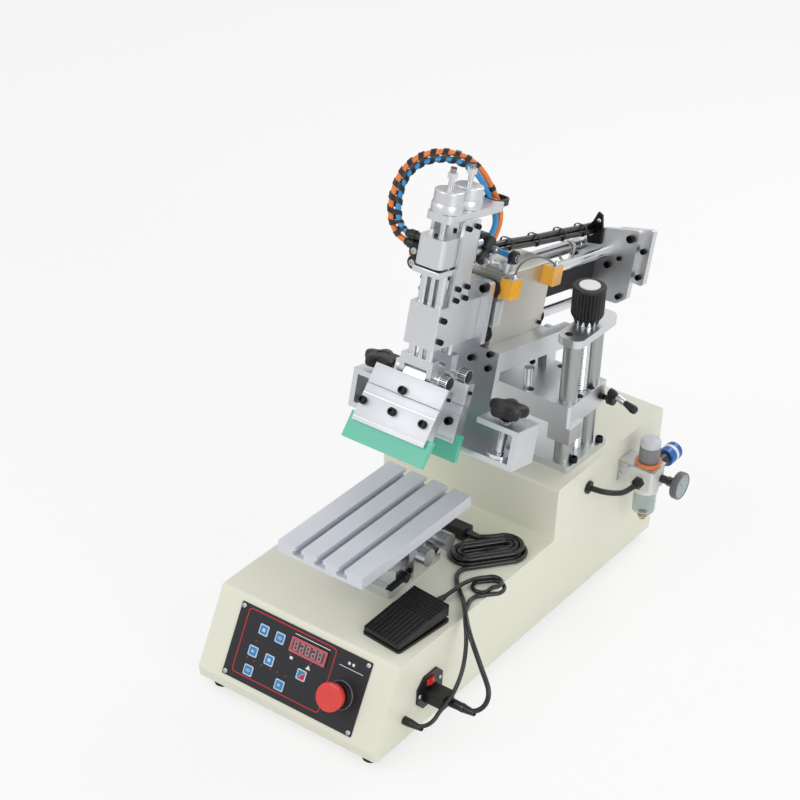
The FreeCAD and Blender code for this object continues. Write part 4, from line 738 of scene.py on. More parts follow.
# %% Knobs
lift_top = seat(along(112, 527, 430.3), Z_WAY)
ribbed = flutes(28, 0.07)
toothed = flutes(12, 0.2)
lift_grip = lathe("lift_grip", [
    (0, 12.4), (20.5, 12.4), (22.6, 13.6, ribbed), (23.4, 15.5, ribbed), (23.4, 53.0, ribbed), (24.0, 54.0),
    (24.0, 56.0), (22.8, 57.8), (18.0, 58.2), (15.6, 58.2), (15.4, 57.6), (0, 57.6)],
    168, lift_top, "knob_black", "lift_screw")
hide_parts("lift_knob")
lathe(
    "lift_disc", [(0, 57.6), (14.9, 57.6), (15.0, 58.8), (14.2, 59.5), (0, 59.5)],
    64, lift_top, "knob_black", "lift_screw", "white")
lift_base = [(0, 0), (16.2, 0), (16.4, 1.0), (16.4, 12.4), (0, 12.4)]
lathe("lift_base", lift_base, 64, lift_top, "chrome", "lift_screw")
lathe("lift_teeth", [
    (12, 0.6), (17.0, 0.6, toothed), (18.0, 4.0, toothed), (20.0, 9.5, flutes(12, 0.14)), (22.0, 12.6),
    (12, 12.6), (12, 0.6)], 144, lift_top, "knob_black", "lift_screw")
screw_base = seat(along(112, 527, 227.7), Z_WAY)
lathe("lead_screw_thread", thread(9.9, 0.2, 202.4, 4.0), 32, screw_base, "chrome", "lift_screw")

star = [
    (0, 0), (10, 0), (11, 1.0), (13, 5.0), (22, 6.0, lobes), (27, 8.0, lobes), (29, 11.5, lobes),
    (29, 17.0, lobes), (27.5, 20.5, lobes), (24, 22.4, lobes), (15, 23.4), (10, 23.4), (9.4, 22.4), (0, 22.4)]
for name, side in (("left", -1), ("right", 1)):
    knob_seat = on_head(side * 105, -205, -60)
    knob = lathe(f"star_knob_{name}", star, 120, knob_seat, "knob_black", f"star_{name}")
    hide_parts(f"clamp_knob_{name}")
    lathe(f"star_stem_{name}", thread(6.4, -48.0, 0.5, 2.0), 32, knob_seat, "chrome", f"star_{name}")
print("knobs made")

# %% [markdown]
# The press is held together by dozens of black socket head screws. They are all one shape at a few
# sizes, so Geometry Nodes place them: each screw is a point that knows its way out and its size, and
# the tree puts a head on every point, turns it along its way and gives it its finish.

# %% Screw heads
head_shapes = {
    "socket": (24, [
        (0, -0.05), (0.75, -0.05), (0.75, 0.9), (0.69, 1.0), (0.47, 1.0, flats), (0.45, 0.45, flats),
        (0, 0.4)]),
    "cross": (32, [
        (0, -0.02), (1.0, -0.02), (0.95, 0.25), (0.75, 0.45), (0.5, 0.53), (0.42, 0.53, flutes(4, 0.75)),
        (0.38, 0.3, flutes(4, 0.8)), (0, 0.25)]),
    # The recess shape is a flat ring, drawn dark as painted shade for a hole.
    "recess": (32, [(0, -0.02), (1.0, -0.02), (0.98, 0.04), (0.9, 0.05), (0.86, 0.03), (0, 0.02)]),
}


def set_piece(name, points, faces):
    data = bpy.data.meshes.new(name)
    data.from_pydata([tuple(point) for point in points], [], faces)
    return linked(name, data)


screw_crease_angle = 35
head_masters = {}
for kind, (segments, rings) in head_shapes.items():
    head_masters[kind] = set_piece(f"{kind}_master", *turned(rings, segments))
    smooth_over(head_masters[kind].data, screw_crease_angle)


def scatter_tree():
    """Heads on points: named inputs for the head and the finish."""
    tree = bpy.data.node_groups.new("heads_on_points", "GeometryNodeTree")
    for name, kind in (("Places", "Geometry"), ("Head", "Object"), ("Finish", "Material")):
        tree.interface.new_socket(name, in_out="INPUT", socket_type=f"NodeSocket{kind}")
    tree.interface.new_socket("Made", in_out="OUTPUT", socket_type="NodeSocketGeometry")
    start = tree.nodes.new("NodeGroupInput")
    end = tree.nodes.new("NodeGroupOutput")
    info = tree.nodes.new("GeometryNodeObjectInfo")
    info.inputs["As Instance"].default_value = True
    way = tree.nodes.new("GeometryNodeInputNamedAttribute")
    way.data_type = "FLOAT_VECTOR"
    way.inputs["Name"].default_value = "way"
    size = tree.nodes.new("GeometryNodeInputNamedAttribute")
    size.data_type = "FLOAT"
    size.inputs["Name"].default_value = "size"
    turn = tree.nodes.new("FunctionNodeAlignRotationToVector")
    turn.axis = "Z"
    put = tree.nodes.new("GeometryNodeInstanceOnPoints")
    real = tree.nodes.new("GeometryNodeRealizeInstances")
    coat = tree.nodes.new("GeometryNodeSetMaterial")
    for source, out, target, into in (
            (start, "Places", put, "Points"), (start, "Head", info, "Object"),
            (info, "Geometry", put, "Instance"), (way, "Attribute", turn, "Vector"),
            (turn, "Rotation", put, "Rotation"), (size, "Attribute", put, "Scale"),
            (put, "Instances", real, "Geometry"), (real, "Geometry", coat, "Geometry"),
            (start, "Finish", coat, "Material"), (coat, "Geometry", end, "Made")):
        tree.links.new(source.outputs[out], target.inputs[into])
    return tree


heads_tree = scatter_tree()


def heads(name, body, places, kind="socket", slot="black_steel", look=None):
    """Screw heads of one body: each place is a point, a way out and a thread size in millimetres."""
    made = set_piece(name, [place[0] for place in places], [])
    ways = made.data.attributes.new("way", "FLOAT_VECTOR", "POINT")
    ways.data.foreach_set("vector", [v for place in places for v in place[1]])
    sizes = made.data.attributes.new("size", "FLOAT", "POINT")
    sizes.data.foreach_set("value", [place[2] * MM for place in places])
    nodes = made.modifiers.new("heads", "NODES")
    nodes.node_group = heads_tree
    given = {"Head": head_masters[kind], "Finish": finishes[look or slot]}
    for item in heads_tree.interface.items_tree:
        if item.name in given:
            nodes[item.identifier] = given[item.name]
    bpy.context.view_layer.update()
    baked = evaluated_mesh(made)
    made.modifiers.clear()
    made.data = baked
    return finish_piece(made, body)


print("kinds of screw head", len(head_masters))

# %% [markdown]
# Screws ride with the body that they hold, so each body gets its own set. Their places come from the
# drawing, and pairs and corners are written as loops. A recess is a dark, shallow ring of painted shade,
# and stands for a hole with its screw deep inside.

# %% Screws on the frame, the carriage, the lift and the cabinet
head_front = head_way(0, -1, 0)
head_right = head_way(1, 0, 0)
head_up = head_way(0, 0, 1)
frame_screws = []
for side in (-1, 1):
    for x, high, size in ((21, -4, 6), (49, 10, 6), (50, -10, 6)):
        frame_screws.append((in_head(side * x, -180, high), head_front, size))
    frame_screws.append((in_head(side * 118, -180, -80), head_front, 5))
    for high in (24, 106):
        frame_screws.append((in_head(side * 35, -36, high), head_way(side, 0, 0), 4))
heads("frame_screws", "tilt", frame_screws)

carriage_screws = [(in_head(side * 27.5, -190, 101), head_front, 8) for side in (-1, 1)]
for x, back, high, size in (
        (61.5, 150, 126, 8), (49, 150, 92, 5), (33, 150, 78, 7), (60, 150, 36, 6), (-26, 150, 78, 6),
        (14, 150, 32, 6), (79.5, 162, 110, 6), (79.5, 162, 70, 6)):
    carriage_screws.append((in_head(x, back, high), head_front, size))
for x, high, back in ((25, 95, 174), (-25, 30, 162), (-18, 95, 162), (46, 120, 174), (76, 72, 174)):
    carriage_screws.append((in_head(x, back, high), head_way(0, 1, 0), 7))
for side in (-1, 1):
    for back in (-262, -240):
        for high in (96, 112, 196):
            carriage_screws.append((in_head(side * 26.3, back, high), head_way(side, 0, 0), 5))
carriage_screws += [(in_head(24, -281, high), head_right, 5.5) for high in (70, 40)]
carriage_screws += [(in_head(0, back, 183), head_up, 3.5) for back in (-296, -250, -222)]
heads("carriage_screws", "carriage", carriage_screws)
# Dark rings of painted shade stand for the carriage plate's slots and a small hole.
slots = [(in_head(1, back, 215), head_up, 4) for back in (-257.5, -212)]
slots.append((in_head(12.6, -297.1, 224), head_way(0.55, -0.83, 0), 2.4))
heads("plate_recesses", "carriage", slots, "recess", look="recess")

lift_plate_up = 325
lift_holes = [(124.5, 505.5), (124.5, 536), (-104.5, 505.5), (-104.5, 536), (60, 478), (-60, 478), (60, 560)]
# Dark rings of painted shade stand for the holes in the lift plate.
lift_recesses = [(along(*hole, lift_plate_up), Z_WAY, 5.6) for hole in lift_holes]
heads("lift_recesses", "lift", lift_recesses, "recess", look="recess")
lift_screws = [(along(132, 551, 308), X_WAY, 6), (along(-117, 551, 308), -X_WAY, 6)]
lift_screws += [(along(side * 26, 538, 331), -Y_WAY, 5) for side in (-1, 1)]
heads("lift_screws", "lift", lift_screws)
top_bar_up = 430
# Dark rings of painted shade stand for the holes in the top bar.
bar_holes = [(along(x, back, top_bar_up), Z_WAY, 5.6) for x in (111, -91) for back in (483, 562)]
heads("bar_recesses", "cabinet", bar_holes, "recess", look="recess")
base_up = 227.4
base_screws = [(along(x, back, base_up), Z_WAY, 7.6) for x in (-113.5, 133.5) for back in (490, 560)]
heads("base_screws", "cabinet", base_screws)
panel_way = (on_panel(0, 0, 1) - on_panel(0, 0, 0)).normalized()
panel_screws = [(on_panel(x, up, 2.0), panel_way, 3.6) for x in (-105, 105) for up in (13, 109)]
wall_screw_x = 153
panel_screws += [(along(wall_screw_x, back, up), X_WAY, 3.2) for back, up in ((98.6, 56.1), (144.9, 61.4))]
panel_screws += [(along(wall_screw_x, back, 160), X_WAY, 3.4) for back in (600, 626)]
heads("panel_screws", "cabinet", panel_screws, "cross", "steel")
print("carriage screws", len(carriage_screws))

# %% [markdown]
# Both squeegee holders lean in the head, each by its own angle, and their jaws are brushed aluminium
# with deep gaps. The jaws are drawn as thin skins over the plain holder, in the holder's own frame, and
# the pin's right end has a small knurled grip. The stage under them has a few small screws too.

# %% Squeegee holders and the stage screws
units = (("front", -281, 28), ("rear", -234, 8))
pin_up = -11


def in_holder(unit, lean, x, out, down):
    """A place on a leaning squeegee holder: across, out of its middle plane and down from its pin."""
    turn = math.radians(lean)
    back = -out * math.cos(turn) - down * math.sin(turn)
    high = out * math.sin(turn) - down * math.cos(turn)
    return in_head(x, unit + back, pin_up + high)


knurled = flutes(24, 0.05)
wing = [
    (0, 38.2), (8.6, 38.2), (9.8, 39.2, knurled), (10.2, 40.5, knurled), (10.2, 50.8, knurled),
    (9.6, 52.2, knurled), (8.4, 52.9), (0, 52.9)]
for name, unit, lean in units:
    pin = in_holder(unit, lean, 0, 0, 0)
    way = (in_holder(unit, lean, 0, 1, 0) - pin).normalized()
    rise = (in_holder(unit, lean, 0, 0, -1) - pin).normalized()
    holder_seat = Matrix.Translation(pin) @ Matrix((X_WAY, rise, way)).transposed().to_4x4() @ SHRINK
    skins = [
        (block(-58.9, 58.9, low, high, 5.0, 9.4, 0.35), holder_seat)
        for low, high in ((-37.6, -8.6), (-51.6, -38.6), (-86.4, -52.6), (-92.2, -87.0))]
    piece_of(f"{name}_holder_skin", skins, "aluminium", f"{name}_squeegee", "jaws")
    holder_screws = [
        (in_holder(unit, lean, x, 9.4, down), way, 7.6)
        for x, down in ((-53, 63.5), (-4, 63.5), (46, 63.5), (-3, 31.6))]
    holder_screws += [(in_holder(unit, lean, side * 59, 0, 20), X_WAY * side, 3.4) for side in (-1, 1)]
    heads(f"{name}_holder_screws", f"{name}_squeegee", holder_screws)
    lathe(f"{name}_wing_grip", wing, 96, seat(pin, X_WAY), "knob_black", f"{name}_squeegee")
stage_screws = [(along(x, back, 144.4), Z_WAY, 2.2) for x in (-44, 44) for back in (167.5, 288.5)]
heads("stage_screws", "cabinet", stage_screws)
heads("slide_screws", "stage_y", [(along(50.3, back, 156.9), X_WAY, 5) for back in (208, 244, 266)])
print("screw heads placed")

# %% [markdown]
# The control panel carries a printed red outline, blue membrane keys with a darker field and a small
# sign each, tiny lamps over them, and a window with five digits. The signs stay plain shapes, and the
# prints are thin sheets a tenth of a millimetre over the film, so that they look printed.

# %% Panel prints
on_film = Matrix.Translation(on_panel(0, 0, 0)) @ Matrix.Rotation(slope_angle, 4, "X") @ SHRINK


def plate(outline, low, high):
    """A flat outline given a thickness."""
    points = [Vector((x, y, level)) for level in (low, high) for x, y in outline]
    count = len(outline)
    faces = [tuple(reversed(range(count))), tuple(range(count, 2 * count))]
    for step in range(count):
        after = (step + 1) % count
        faces.append((step, after, count + after, count + step))
    return points, faces


def soft_box(x0, x1, y0, y1, radius, steps=5):
    """A rectangle's outline with round corners."""
    outline = []
    for x, y, start in (
            (x1 - radius, y0 + radius, -90), (x1 - radius, y1 - radius, 0), (x0 + radius, y1 - radius, 90),
            (x0 + radius, y0 + radius, 180)):
        for step in range(steps + 1):
            angle = math.radians(start + 90 * step / steps)
            outline.append((x + radius * math.cos(angle), y + radius * math.sin(angle)))
    return outline


def band(outer, inner, low, high):
    """A closed strip between two outlines of the same count."""
    points = []
    for outline in (outer, inner):
        points += [Vector((x, y, level)) for level in (low, high) for x, y in outline]
    count = len(outer)
    faces = []
    for step in range(count):
        after = (step + 1) % count
        for one, two in ((0, 1), (1, 3), (3, 2), (2, 0)):
            faces.append((one * count + step, one * count + after, two * count + after, two * count + step))
    return points, faces


print_low = 1.45
print_high = 1.6


def sheet(outline, low=print_low, high=print_high):
    """A printed sheet on the film."""
    return plate(outline, low, high), on_film


def strip(x0, x1, y0, y1, radius, steps, low=print_low, high=print_high):
    """A print with round corners."""
    return sheet(soft_box(x0, x1, y0, y1, radius, steps), low, high)


def square(x, up, half, radius, steps, low, high):
    """A square print round a key's middle."""
    return strip(x - half, x + half, up - half, up + half, radius, steps, low, high)


print("points in a soft box", len(soft_box(0, 1, 0, 1, 0.2)))

# %% [markdown]
# A membrane key is a soft dome under the film, and its picture has three thin layers: a pale edge, a
# blue field and a sign. Each layer stands a little over the last one, because two sheets at the same
# height would flicker. The window's digits are bars, as a lit digit's are.

# %% Outline, window, keys and lamps
field = (2.4, 2.6)
sign = (2.55, 2.7)
window_print = (3.6, 3.72)
outline = band(
    soft_box(-96.5, 53, 17, 110.5, 6), soft_box(-95.2, 51.7, 18.3, 109.2, 4.8), print_low, print_high)
rim = band(soft_box(-18, 42, 79.2, 100.8, 1.5), soft_box(-14.5, 38.5, 82.7, 97.3, 1.0), 3.6, 3.95)
piece_of("panel_outline", [(outline, on_film)], "display_red", "cabinet", "red", False)
piece_of("window_rim", [(rim, on_film)], "display_red", "cabinet", "window_rim", False)
rules = [
    strip(-16, 43, 104.0, 105.0, 0.4, 2), strip(62, 101, 92.5, 93.3, 0.3, 2), strip(74, 78, 98, 102, 1.2, 3),
    strip(81, 85, 98, 102, 1.2, 3), strip(-14, -9, 69, 73, 0.6, 2), sheet([(14, 66), (22, 66), (18, 72)])]
piece_of("panel_rules", rules, "panel_black", "cabinet", "white", False)
digits = []
for digit in range(5):
    left = -12.0 + 10.0 * digit
    short = 90.0 if digit % 2 else 95.6
    for x0, x1, y0, y1 in (
            (0, 6.4, 95.2, 96.4), (0, 6.4, 83.6, 84.8), (0, 6.4, 89.4, 90.6), (0, 1.2, 84.4, short),
            (5.2, 6.4, 84.4, 95.6)):
        digits.append(strip(left + x0, left + x1, y0, y1, 0.4, 2, *window_print))
piece_of("window_digits", digits, "display_red", "cabinet", "digit_lit", False)
two_coloured_key = 6
edges = []
fields = []
signs = []
key_places = (
    (-64.3, 89.3), (-36.6, 89.1), (-71.4, 55.5), (-43.1, 54.2), (-70.3, 28.0), (-16.8, 28.8), (11.3, 55.5))
for index, (x, up) in enumerate(key_places):
    edges.append(square(x, up, 7.5, 1.8, 5, 1.6, 2.45))
    if index == two_coloured_key:
        fields.append(sheet([(5.5, 61.3), (5.5, 49.7), (17.1, 61.3)], *field))
        continue
    fields.append(square(x, up, 5.8, 1.3, 5, *field))
    if index % 3 == 0:
        signs.append(square(x, up, 2.4, 0.6, 2, *sign))
    elif index % 3 == 1:
        signs.append(strip(x - 3.2, x + 3.2, up + 0.6, up + 1.7, 0.4, 2, *sign))
        signs.append(strip(x - 3.2, x + 3.2, up - 1.7, up - 0.6, 0.4, 2, *sign))
    else:
        signs.append(sheet([(x - 2.2, up - 2.6), (x + 2.8, up), (x - 2.2, up + 2.6)], *sign))
piece_of("key_edges", edges, "key_blue", "cabinet", "pale_blue", False)
piece_of("key_fields", fields, "key_blue", "cabinet", None, False)
piece_of("key_signs", signs, "key_blue", "cabinet", "pale_blue", False)
red_corner = sheet([(6.4, 49.7), (17.1, 49.7), (17.1, 60.4)], *field)
piece_of("key_red", [red_corner], "switch_red", "cabinet", "red", False)
lamp_shape = turned([(0, 1.4), (1.5, 1.4), (1.4, 1.8), (0.8, 2.0), (0, 2.05)], 16)
lamp_places = (
    (-71.4, 70.2), (-77.8, 44), (-65.3, 43.4), (-52.9, 42.8), (-37.5, 43.4), (-25.7, 44.1), (-11.9, 44.1),
    (-14, 75.5), (20, 75.0))
lamps = [(lamp_shape, on_film @ Matrix.Translation((x, up, 0))) for x, up in lamp_places]
piece_of("panel_lamps", lamps, "display_red", "cabinet", "lamp_red")
print("keys", len(key_places), "lamps", len(lamps))

# %% [markdown]
# The emergency stop is a mushroom: a wide head with a soft rim and a shallow dish, on a short neck
# in a dark collar. A lathe profile gives the dish that a plain cylinder lacks.

# %% Emergency stop
stop_x = 77
stop_up = 55
stop_seat = on_film @ Matrix.Translation((stop_x, stop_up, 0))
stop = lathe("stop_mushroom", [
    (0, 9), (7.6, 9), (7.6, 17.0), (14.0, 17.1), (17.4, 17.6), (18.3, 18.8), (19.0, 21.6), (19.9, 27.0),
    (20.1, 29.6), (19.4, 31.6), (18.0, 32.6), (16.4, 32.8), (14.8, 32.4), (9, 31.6), (0, 31.3)],
    96, stop_seat, "stop_red", "stop_button")
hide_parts("estop_button")
lathe("stop_collar", [
    (8.3, 1.5), (20.2, 1.5), (20.2, 3.4), (19.4, 4.2), (17.2, 5.0), (16.6, 8.4), (8.3, 8.4), (8.3, 1.5)],
    72, stop_seat, "stop_black", "cabinet", "ring_grey")
print("panel dressed")

# %% [markdown]
# The top of the head is the busiest place. Black valve bodies with bright adjusting screws sit on both
# sides of the cylinder block, a short blue stub ends in a round black fitting over the beam, and black
# threaded studs stand in the cups. All of it is drawn in the head's own level frame and then tilted.

# %% Valves, studs and collars on the head
level = head_seat()
upright = head_seat(90.0)


def head_block(*sizes):
    """A block drawn in the head's own frame."""
    return block(*sizes), level


valve_rim = flutes(18, 0.05)
valve = turned([
    (0, 0), (7.6, 0), (9.0, 1.0, valve_rim), (9.0, 8.0, valve_rim), (7.4, 9.0), (7.4, 14.0), (9.3, 15.0),
    (9.3, 19.4), (8.2, 20.4), (0, 20.4)], 108)
left_valves = [(valve, on_head(-30.5, -272, up, (0, -1, 0))) for up in (136.5, 153)]
left_valves.append(head_block(-37, -21, -286, -274, 131, 158, 2.0))
piece_of("left_valves", left_valves, "black_plastic", "carriage")
tip = turned([(0, 0), (4.6, 0), (4.6, 2.4), (3.9, 3.2), (2.2, 3.2), (1.8, 1.8), (0, 1.7)], 32)
tips = []
for up in (136.5, 153):
    tips.append((tip, on_head(-30.5, -292.3, up, (0, -1, 0))))
    tips.append((tip, on_head(-39.8, -280, up, (-1, 0, 0))))
piece_of("left_valve_tips", tips, "steel", "carriage")
lathe(
    "release_ring", [(8.6, 0), (11.6, 0.6), (12.0, 2.2), (11.6, 3.6), (8.6, 4.2), (8.6, 0)],
    64, on_head(-34, -279.5, 149, (-0.2, -1, 0.3)), "hose_orange", "carriage")
elbow = turned([
    (0, 0), (5.9, 0), (5.9, 14), (7.2, 15), (7.2, 24), (6.0, 25.5), (5.2, 30), (4.6, 30.6), (0, 30.6)], 48)
elbows = [(elbow, on_head(-21.5, -284, up, (-1, 0, 0))) for up in (158.7, 170.3)]
piece_of("left_push_fittings", elbows, "black_plastic", "carriage")

flange = turned([(0, 0), (10.4, 0), (12.0, 1.2, knurled), (12.0, 7.5, knurled), (10.6, 8.6), (0, 8.6)], 96)
right_valves = [
    head_block(-6, 13, -197.5, -174, 139.5, 172, 4.0), (flange, on_head(12, -182, 158, (1, 0, 0))),
    (flange, on_head(10, -190, 143, (1, 0, -0.2)))]
piece_of("right_valves", right_valves, "black_plastic", "carriage")
stub = turned([(0, 0), (4.3, 0), (4.3, 9.0), (3.6, 9.8), (2.2, 9.8), (1.9, 8.2), (0, 8.1)], 32)
stubs = [(stub, on_head(19.6, -179, 154, (1, 0, -0.1))), (stub, on_head(17.4, -190, 139, (1, 0, -0.3)))]
piece_of("right_valve_tips", stubs, "steel", "carriage")

blue_seat = on_head(9.9, -150, 142.8, (1, 0, -0.04))
blue_tube = [(0, -6), (4.1, -6), (4.1, 26.0), (0, 26.0)]
lathe("blue_stub", blue_tube, 32, blue_seat, "valve_blue", "carriage", "hose_blue")
port_seat = on_head(34.0, -150, 141.6, (1, 0, -0.04))
lathe("beam_port", [
    (0, 0), (7.2, 0), (9.2, 1.4), (9.6, 4.0), (9.6, 9.0), (8.6, 10.4), (6.2, 10.6), (5.6, 9.4), (0, 9.2)],
    64, port_seat, "black_plastic", "carriage")
lathe(
    "beam_port_ring", [(3.9, 9.0), (5.3, 9.0), (5.3, 11.2), (4.8, 11.6), (4.3, 11.2), (3.9, 9.0)],
    48, port_seat, "steel", "carriage")
saddle = [
    head_block(24, 40, -162, -138, 118.5, 134.5, 3.0), head_block(-12, 12, -176, -150, 120, 139.5, 3.0),
    head_block(-8, 30, -158, -142, 118.5, 127.0, 2.0)]
piece_of("beam_saddle", saddle, "aluminium", "carriage")

for name, unit, _ in units:
    stud = thread(4.3, 261.2, 274.6, 1.6)
    lathe(f"{name}_stud_thread", stud, 32, on_head(0, unit, 0), "knob_black", f"{name}_lift")
cup_collar = turned([
    (19.8, 215.1), (21.2, 215.3), (21.4, 216.2), (21.4, 226.6), (20.8, 227.6), (19.8, 227.8),
    (19.8, 215.1)], 96)
piece_of("cup_collars", [(cup_collar, on_head(0, unit, 0)) for _, unit, _ in units], "aluminium", "carriage")
# A dark strip under the cylinder block: a real seam, with painted shade under the block.
seam_shade = head_block(-19, 19, -304, -216, 139.6, 143.2, 1.0)
piece_of("cylinder_seam", [seam_shade], "black_plastic", "carriage", "recess")
piece_of("cylinder_foot", [head_block(-21.5, 21.5, -307, -214, 131, 139.8, 1.2)], "aluminium", "carriage")
hole_ring = band(soft_box(-17, 13, -171, -136, 12, 8), soft_box(-14, 10, -168, -139, 10, 8), 206.5, 215.6)
guide = [(hole_ring, level), head_block(-19.5, 15, -172, -160, 205, 214.6, 2.0)]
piece_of("hose_guide", guide, "black_plastic", "carriage")
band_start = int(0.705 * len(outer_line))
band_end = int(0.722 * len(outer_line))
band_diameter = 9.6
line("orange_hose_band", outer_line[band_start:band_end], band_diameter, "tube_black", "carriage", sides=8)
print("head dressed")

# %% [markdown]
# Between the end plates run the guide rods, the stroke cylinder and a black panel in the darkest finish,
# which paints the shade inside the beam, and a flat black bundle of leads goes back over the beam to a
# bracket on the rear plate. A thin grey lead joins the two orange sensors.

# %% The stroke cylinder, the lead bundle and the sensor lead
barrel = lathe("stroke_barrel", [
    (0, 0), (9.4, 0), (9.5, 0.4), (9.5, 14), (8.9, 14.6), (8.9, 16.2), (9.5, 16.8), (9.5, 310), (8.9, 310.6),
    (8.9, 312.4), (9.5, 313), (9.5, 328), (0, 328)],
    64, on_head(-18, -178, 95, (0, 1, 0)), "steel", "carriage")
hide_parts("stroke_cylinder")
# The panel's near-black finish is painted shade between the rods.
beam_panel = head_block(1.2, 10.8, -177.8, 149.8, 42.6, 82.4, 0.8)
piece_of("beam_panel", [beam_panel], "black_plastic", "carriage", "recess")
strap = band(
    soft_box(-29.6, -6.4, 72, 106.6, 9, 6), soft_box(-28.0, -8.0, 73.6, 105.0, 7.4, 6), -113.0, -107.0)
piece_of("rod_strap", [(strap, upright)], "regulator_grey", "carriage")
bundle_route = [
    (-16, -150, 128), (-9, -110, 134), (-7, -60, 130.5), (-6, 0, 127), (-6, 60, 124.5), (-5, 120, 121.5),
    (-5, 144, 121)]
for index, (shift, lift) in enumerate(((-4.6, 0.4), (4.4, -0.4), (-0.2, 6.6))):
    places = [in_head(x + shift, back, up + lift) for x, back, up in bundle_route]
    piece = line(f"bundle_{index}", places, 8.4, "cord_black", "carriage")
    in_head(*bundle_route[0])
ties = []
for x, back, up in ((-8, -92, 133.5), (-6, -20, 128.4), (-6, 52, 125), (-5, 112, 122)):
    outer_rim = soft_box(x - 10.6, x + 10.4, up - 5.6, up + 12.4, 5.5)
    inner_rim = soft_box(x - 9.6, x + 9.4, up - 4.6, up + 11.4, 4.6)
    ties.append((band(outer_rim, inner_rim, -back - 2.2, -back + 2.2), upright))
piece_of("bundle_ties", ties, "cord_black", "carriage", "tube_black")
bracket = plate([
    (-6, 100), (15, 104), (14, 126), (9, 147), (2, 150), (-4, 134), (-10, 128), (-10, 112)], -149.6, -145.0)
piece_of("bundle_bracket", [(bracket, upright)], "black_steel", "carriage")
bracket_screws = [(in_head(-4, 145, 116), head_front, 4.6), (in_head(6, 145, 138), head_front, 3.4)]
heads("bracket_screws", "carriage", bracket_screws, "cross", "steel")
sensor_x = 47.4
sensor_backs = (-152, -40)
sensor_route = [
    (sensor_x, back, up) for back, up in (
        (-152, 112.5), (-151, 122), (-146, 131), (-129.8, 137.2), (-106.1, 137.5), (-83, 132.5), (-62, 124.5),
        (-46, 117), (-40, 112.5))]
sensor_lead = line("sensor_lead", [in_head(*p) for p in sensor_route], 2.8, "cord_black", "tilt", "ring_grey")
in_head(*sensor_route[0])
gland = turned([(0, 0), (4.4, 0), (4.4, 3.0, flats), (3.4, 3.4), (2.6, 7.0), (0, 7.0)], 24)
piece_of("sensor_glands", [(gland, on_head(sensor_x, back, 112.8)) for back in sensor_backs], "steel", "tilt")
caps = [head_block(36, 52, back - 10.5, back + 10.5, 112.2, 113.6, 0.4) for back in sensor_backs]
piece_of("sensor_caps", caps, "steel", "tilt")
angle = [head_block(34.0, 37.6, -166.5, -150, 42, 80, 0.5), head_block(22, 37.6, -168.6, -165.2, 42, 80, 0.5)]
piece_of("housing_angle", angle, "aluminium", "tilt")
wipers = []
for x, up, radius in ((25, 95, 7.6), (25, 30, 7.6), (-25, 30, 7.6), (-18, 95, 9.6)):
    lip = turned([
        (radius, 0), (radius + 4.5, 0), (radius + 4.5, 2.0), (radius + 1.2, 3.2), (radius, 3.2),
        (radius, 0)], 48)
    wipers += [(lip, on_head(x, -28, up, (0, 1, 0))), (lip, on_head(x, -165, up, (0, -1, 0)))]
piece_of("rod_wipers", wipers, "cord_black", "tilt", "foot_rubber")
print("beam dressed")

# %% [markdown]
# A ratchet lever locks the lift plate from the right. The arm is drawn as a run of rings of changing
# size along its length, so it swells at the hub and at the grip as a cast lever does.

# %% The lock lever on the lift plate
hub_seat = seat(along(132, 567, 298), X_WAY)
arm_seat = seat(along(144, 566, 309), (along(186, 560, 300.6) - along(143, 566, 311)).normalized())
lathe("lock_hub", [
    (0, 0), (4.2, 0), (4.2, 5.0), (7.6, 5.4), (8.2, 6.4), (8.2, 15.0), (7.2, 16.4), (4.6, 16.8), (0, 16.8)],
    48, hub_seat, "knob_black", "lift")
lathe("lock_arm", [
    (0, -6), (5.4, -5.6), (6.2, -2), (6.0, 3), (4.4, 8), (3.8, 16), (4.4, 26), (5.6, 34), (6.4, 39),
    (6.0, 43), (4.0, 45.4), (0, 46)], 40, arm_seat, "knob_black", "lift")
lathe(
    "lock_sleeve", [(3.9, 9), (4.9, 9.4), (5.3, 16), (4.9, 23.4), (3.9, 24), (3.9, 9)], 40, arm_seat, "steel",
    "lift")
print("lock lever made")

# %% [markdown]
# The regulator group hangs on the cabinet's right wall. Its knob has a ribbed grey skirt and a pale
# dome, an orange ring sits under it, and a brass drain closes the bowl. All of these are turned about
# one upright axis, so one small helper gives every seat.

# %% Regulator
def stacked(up, way=Z_WAY):
    """A seat on the upright axis of the regulator group."""
    return seat(along(190, 613, up), way)


skirt_rim = flutes(30, 0.05)
drain_rim = flutes(12, 0.12)
skirt = lathe("regulator_skirt", [
    (0, 0), (14.6, 0), (15.4, 0.8, skirt_rim), (15.4, 24.0, skirt_rim), (14.8, 24.8), (0, 24.8)],
    120, stacked(192.3), "regulator_grey", "air_knob", "knob_grey")
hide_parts("regulator_knob")
lathe("regulator_dome", [
    (0, 24.8), (15.0, 24.8), (15.4, 25.6), (15.4, 30.0), (14.8, 33.6), (13.0, 36.0), (10.0, 37.0), (0, 37.2)],
    64, stacked(192.3), "regulator_grey", "air_knob", "pale_grey")
lathe("regulator_sleeve", [
    (15.8, 0), (19.2, 0), (19.6, 0.8), (19.6, 5.6), (19.0, 6.4), (15.8, 6.4), (15.8, 0)],
    72, stacked(185.8), "hose_orange", "cabinet", "ring_orange")
lathe("bowl_drain", [
    (4.6, 0), (6.6, 0), (7.4, 1.4, drain_rim), (7.4, 6.5, drain_rim), (5.4, 8.2), (0, 8.2)],
    72, stacked(101.6, -Z_WAY), "steel", "cabinet", "brass")
lathe("bowl_rim", [
    (17.2, 0), (18.6, 0.4), (18.8, 2), (18.8, 7.6), (18.2, 8.6), (17.2, 9.0), (17.2, 0)],
    72, stacked(140.6), "regulator_grey", "cabinet")

print("regulator stacked")

# %% [markdown]
# The gauge has a grey case, a pale dial with eleven marks and a needle, and a glass over them. The hand
# valve is a ribbed blue sleeve with a plain pale band. Its ribs repeat, so a loop writes their rings.

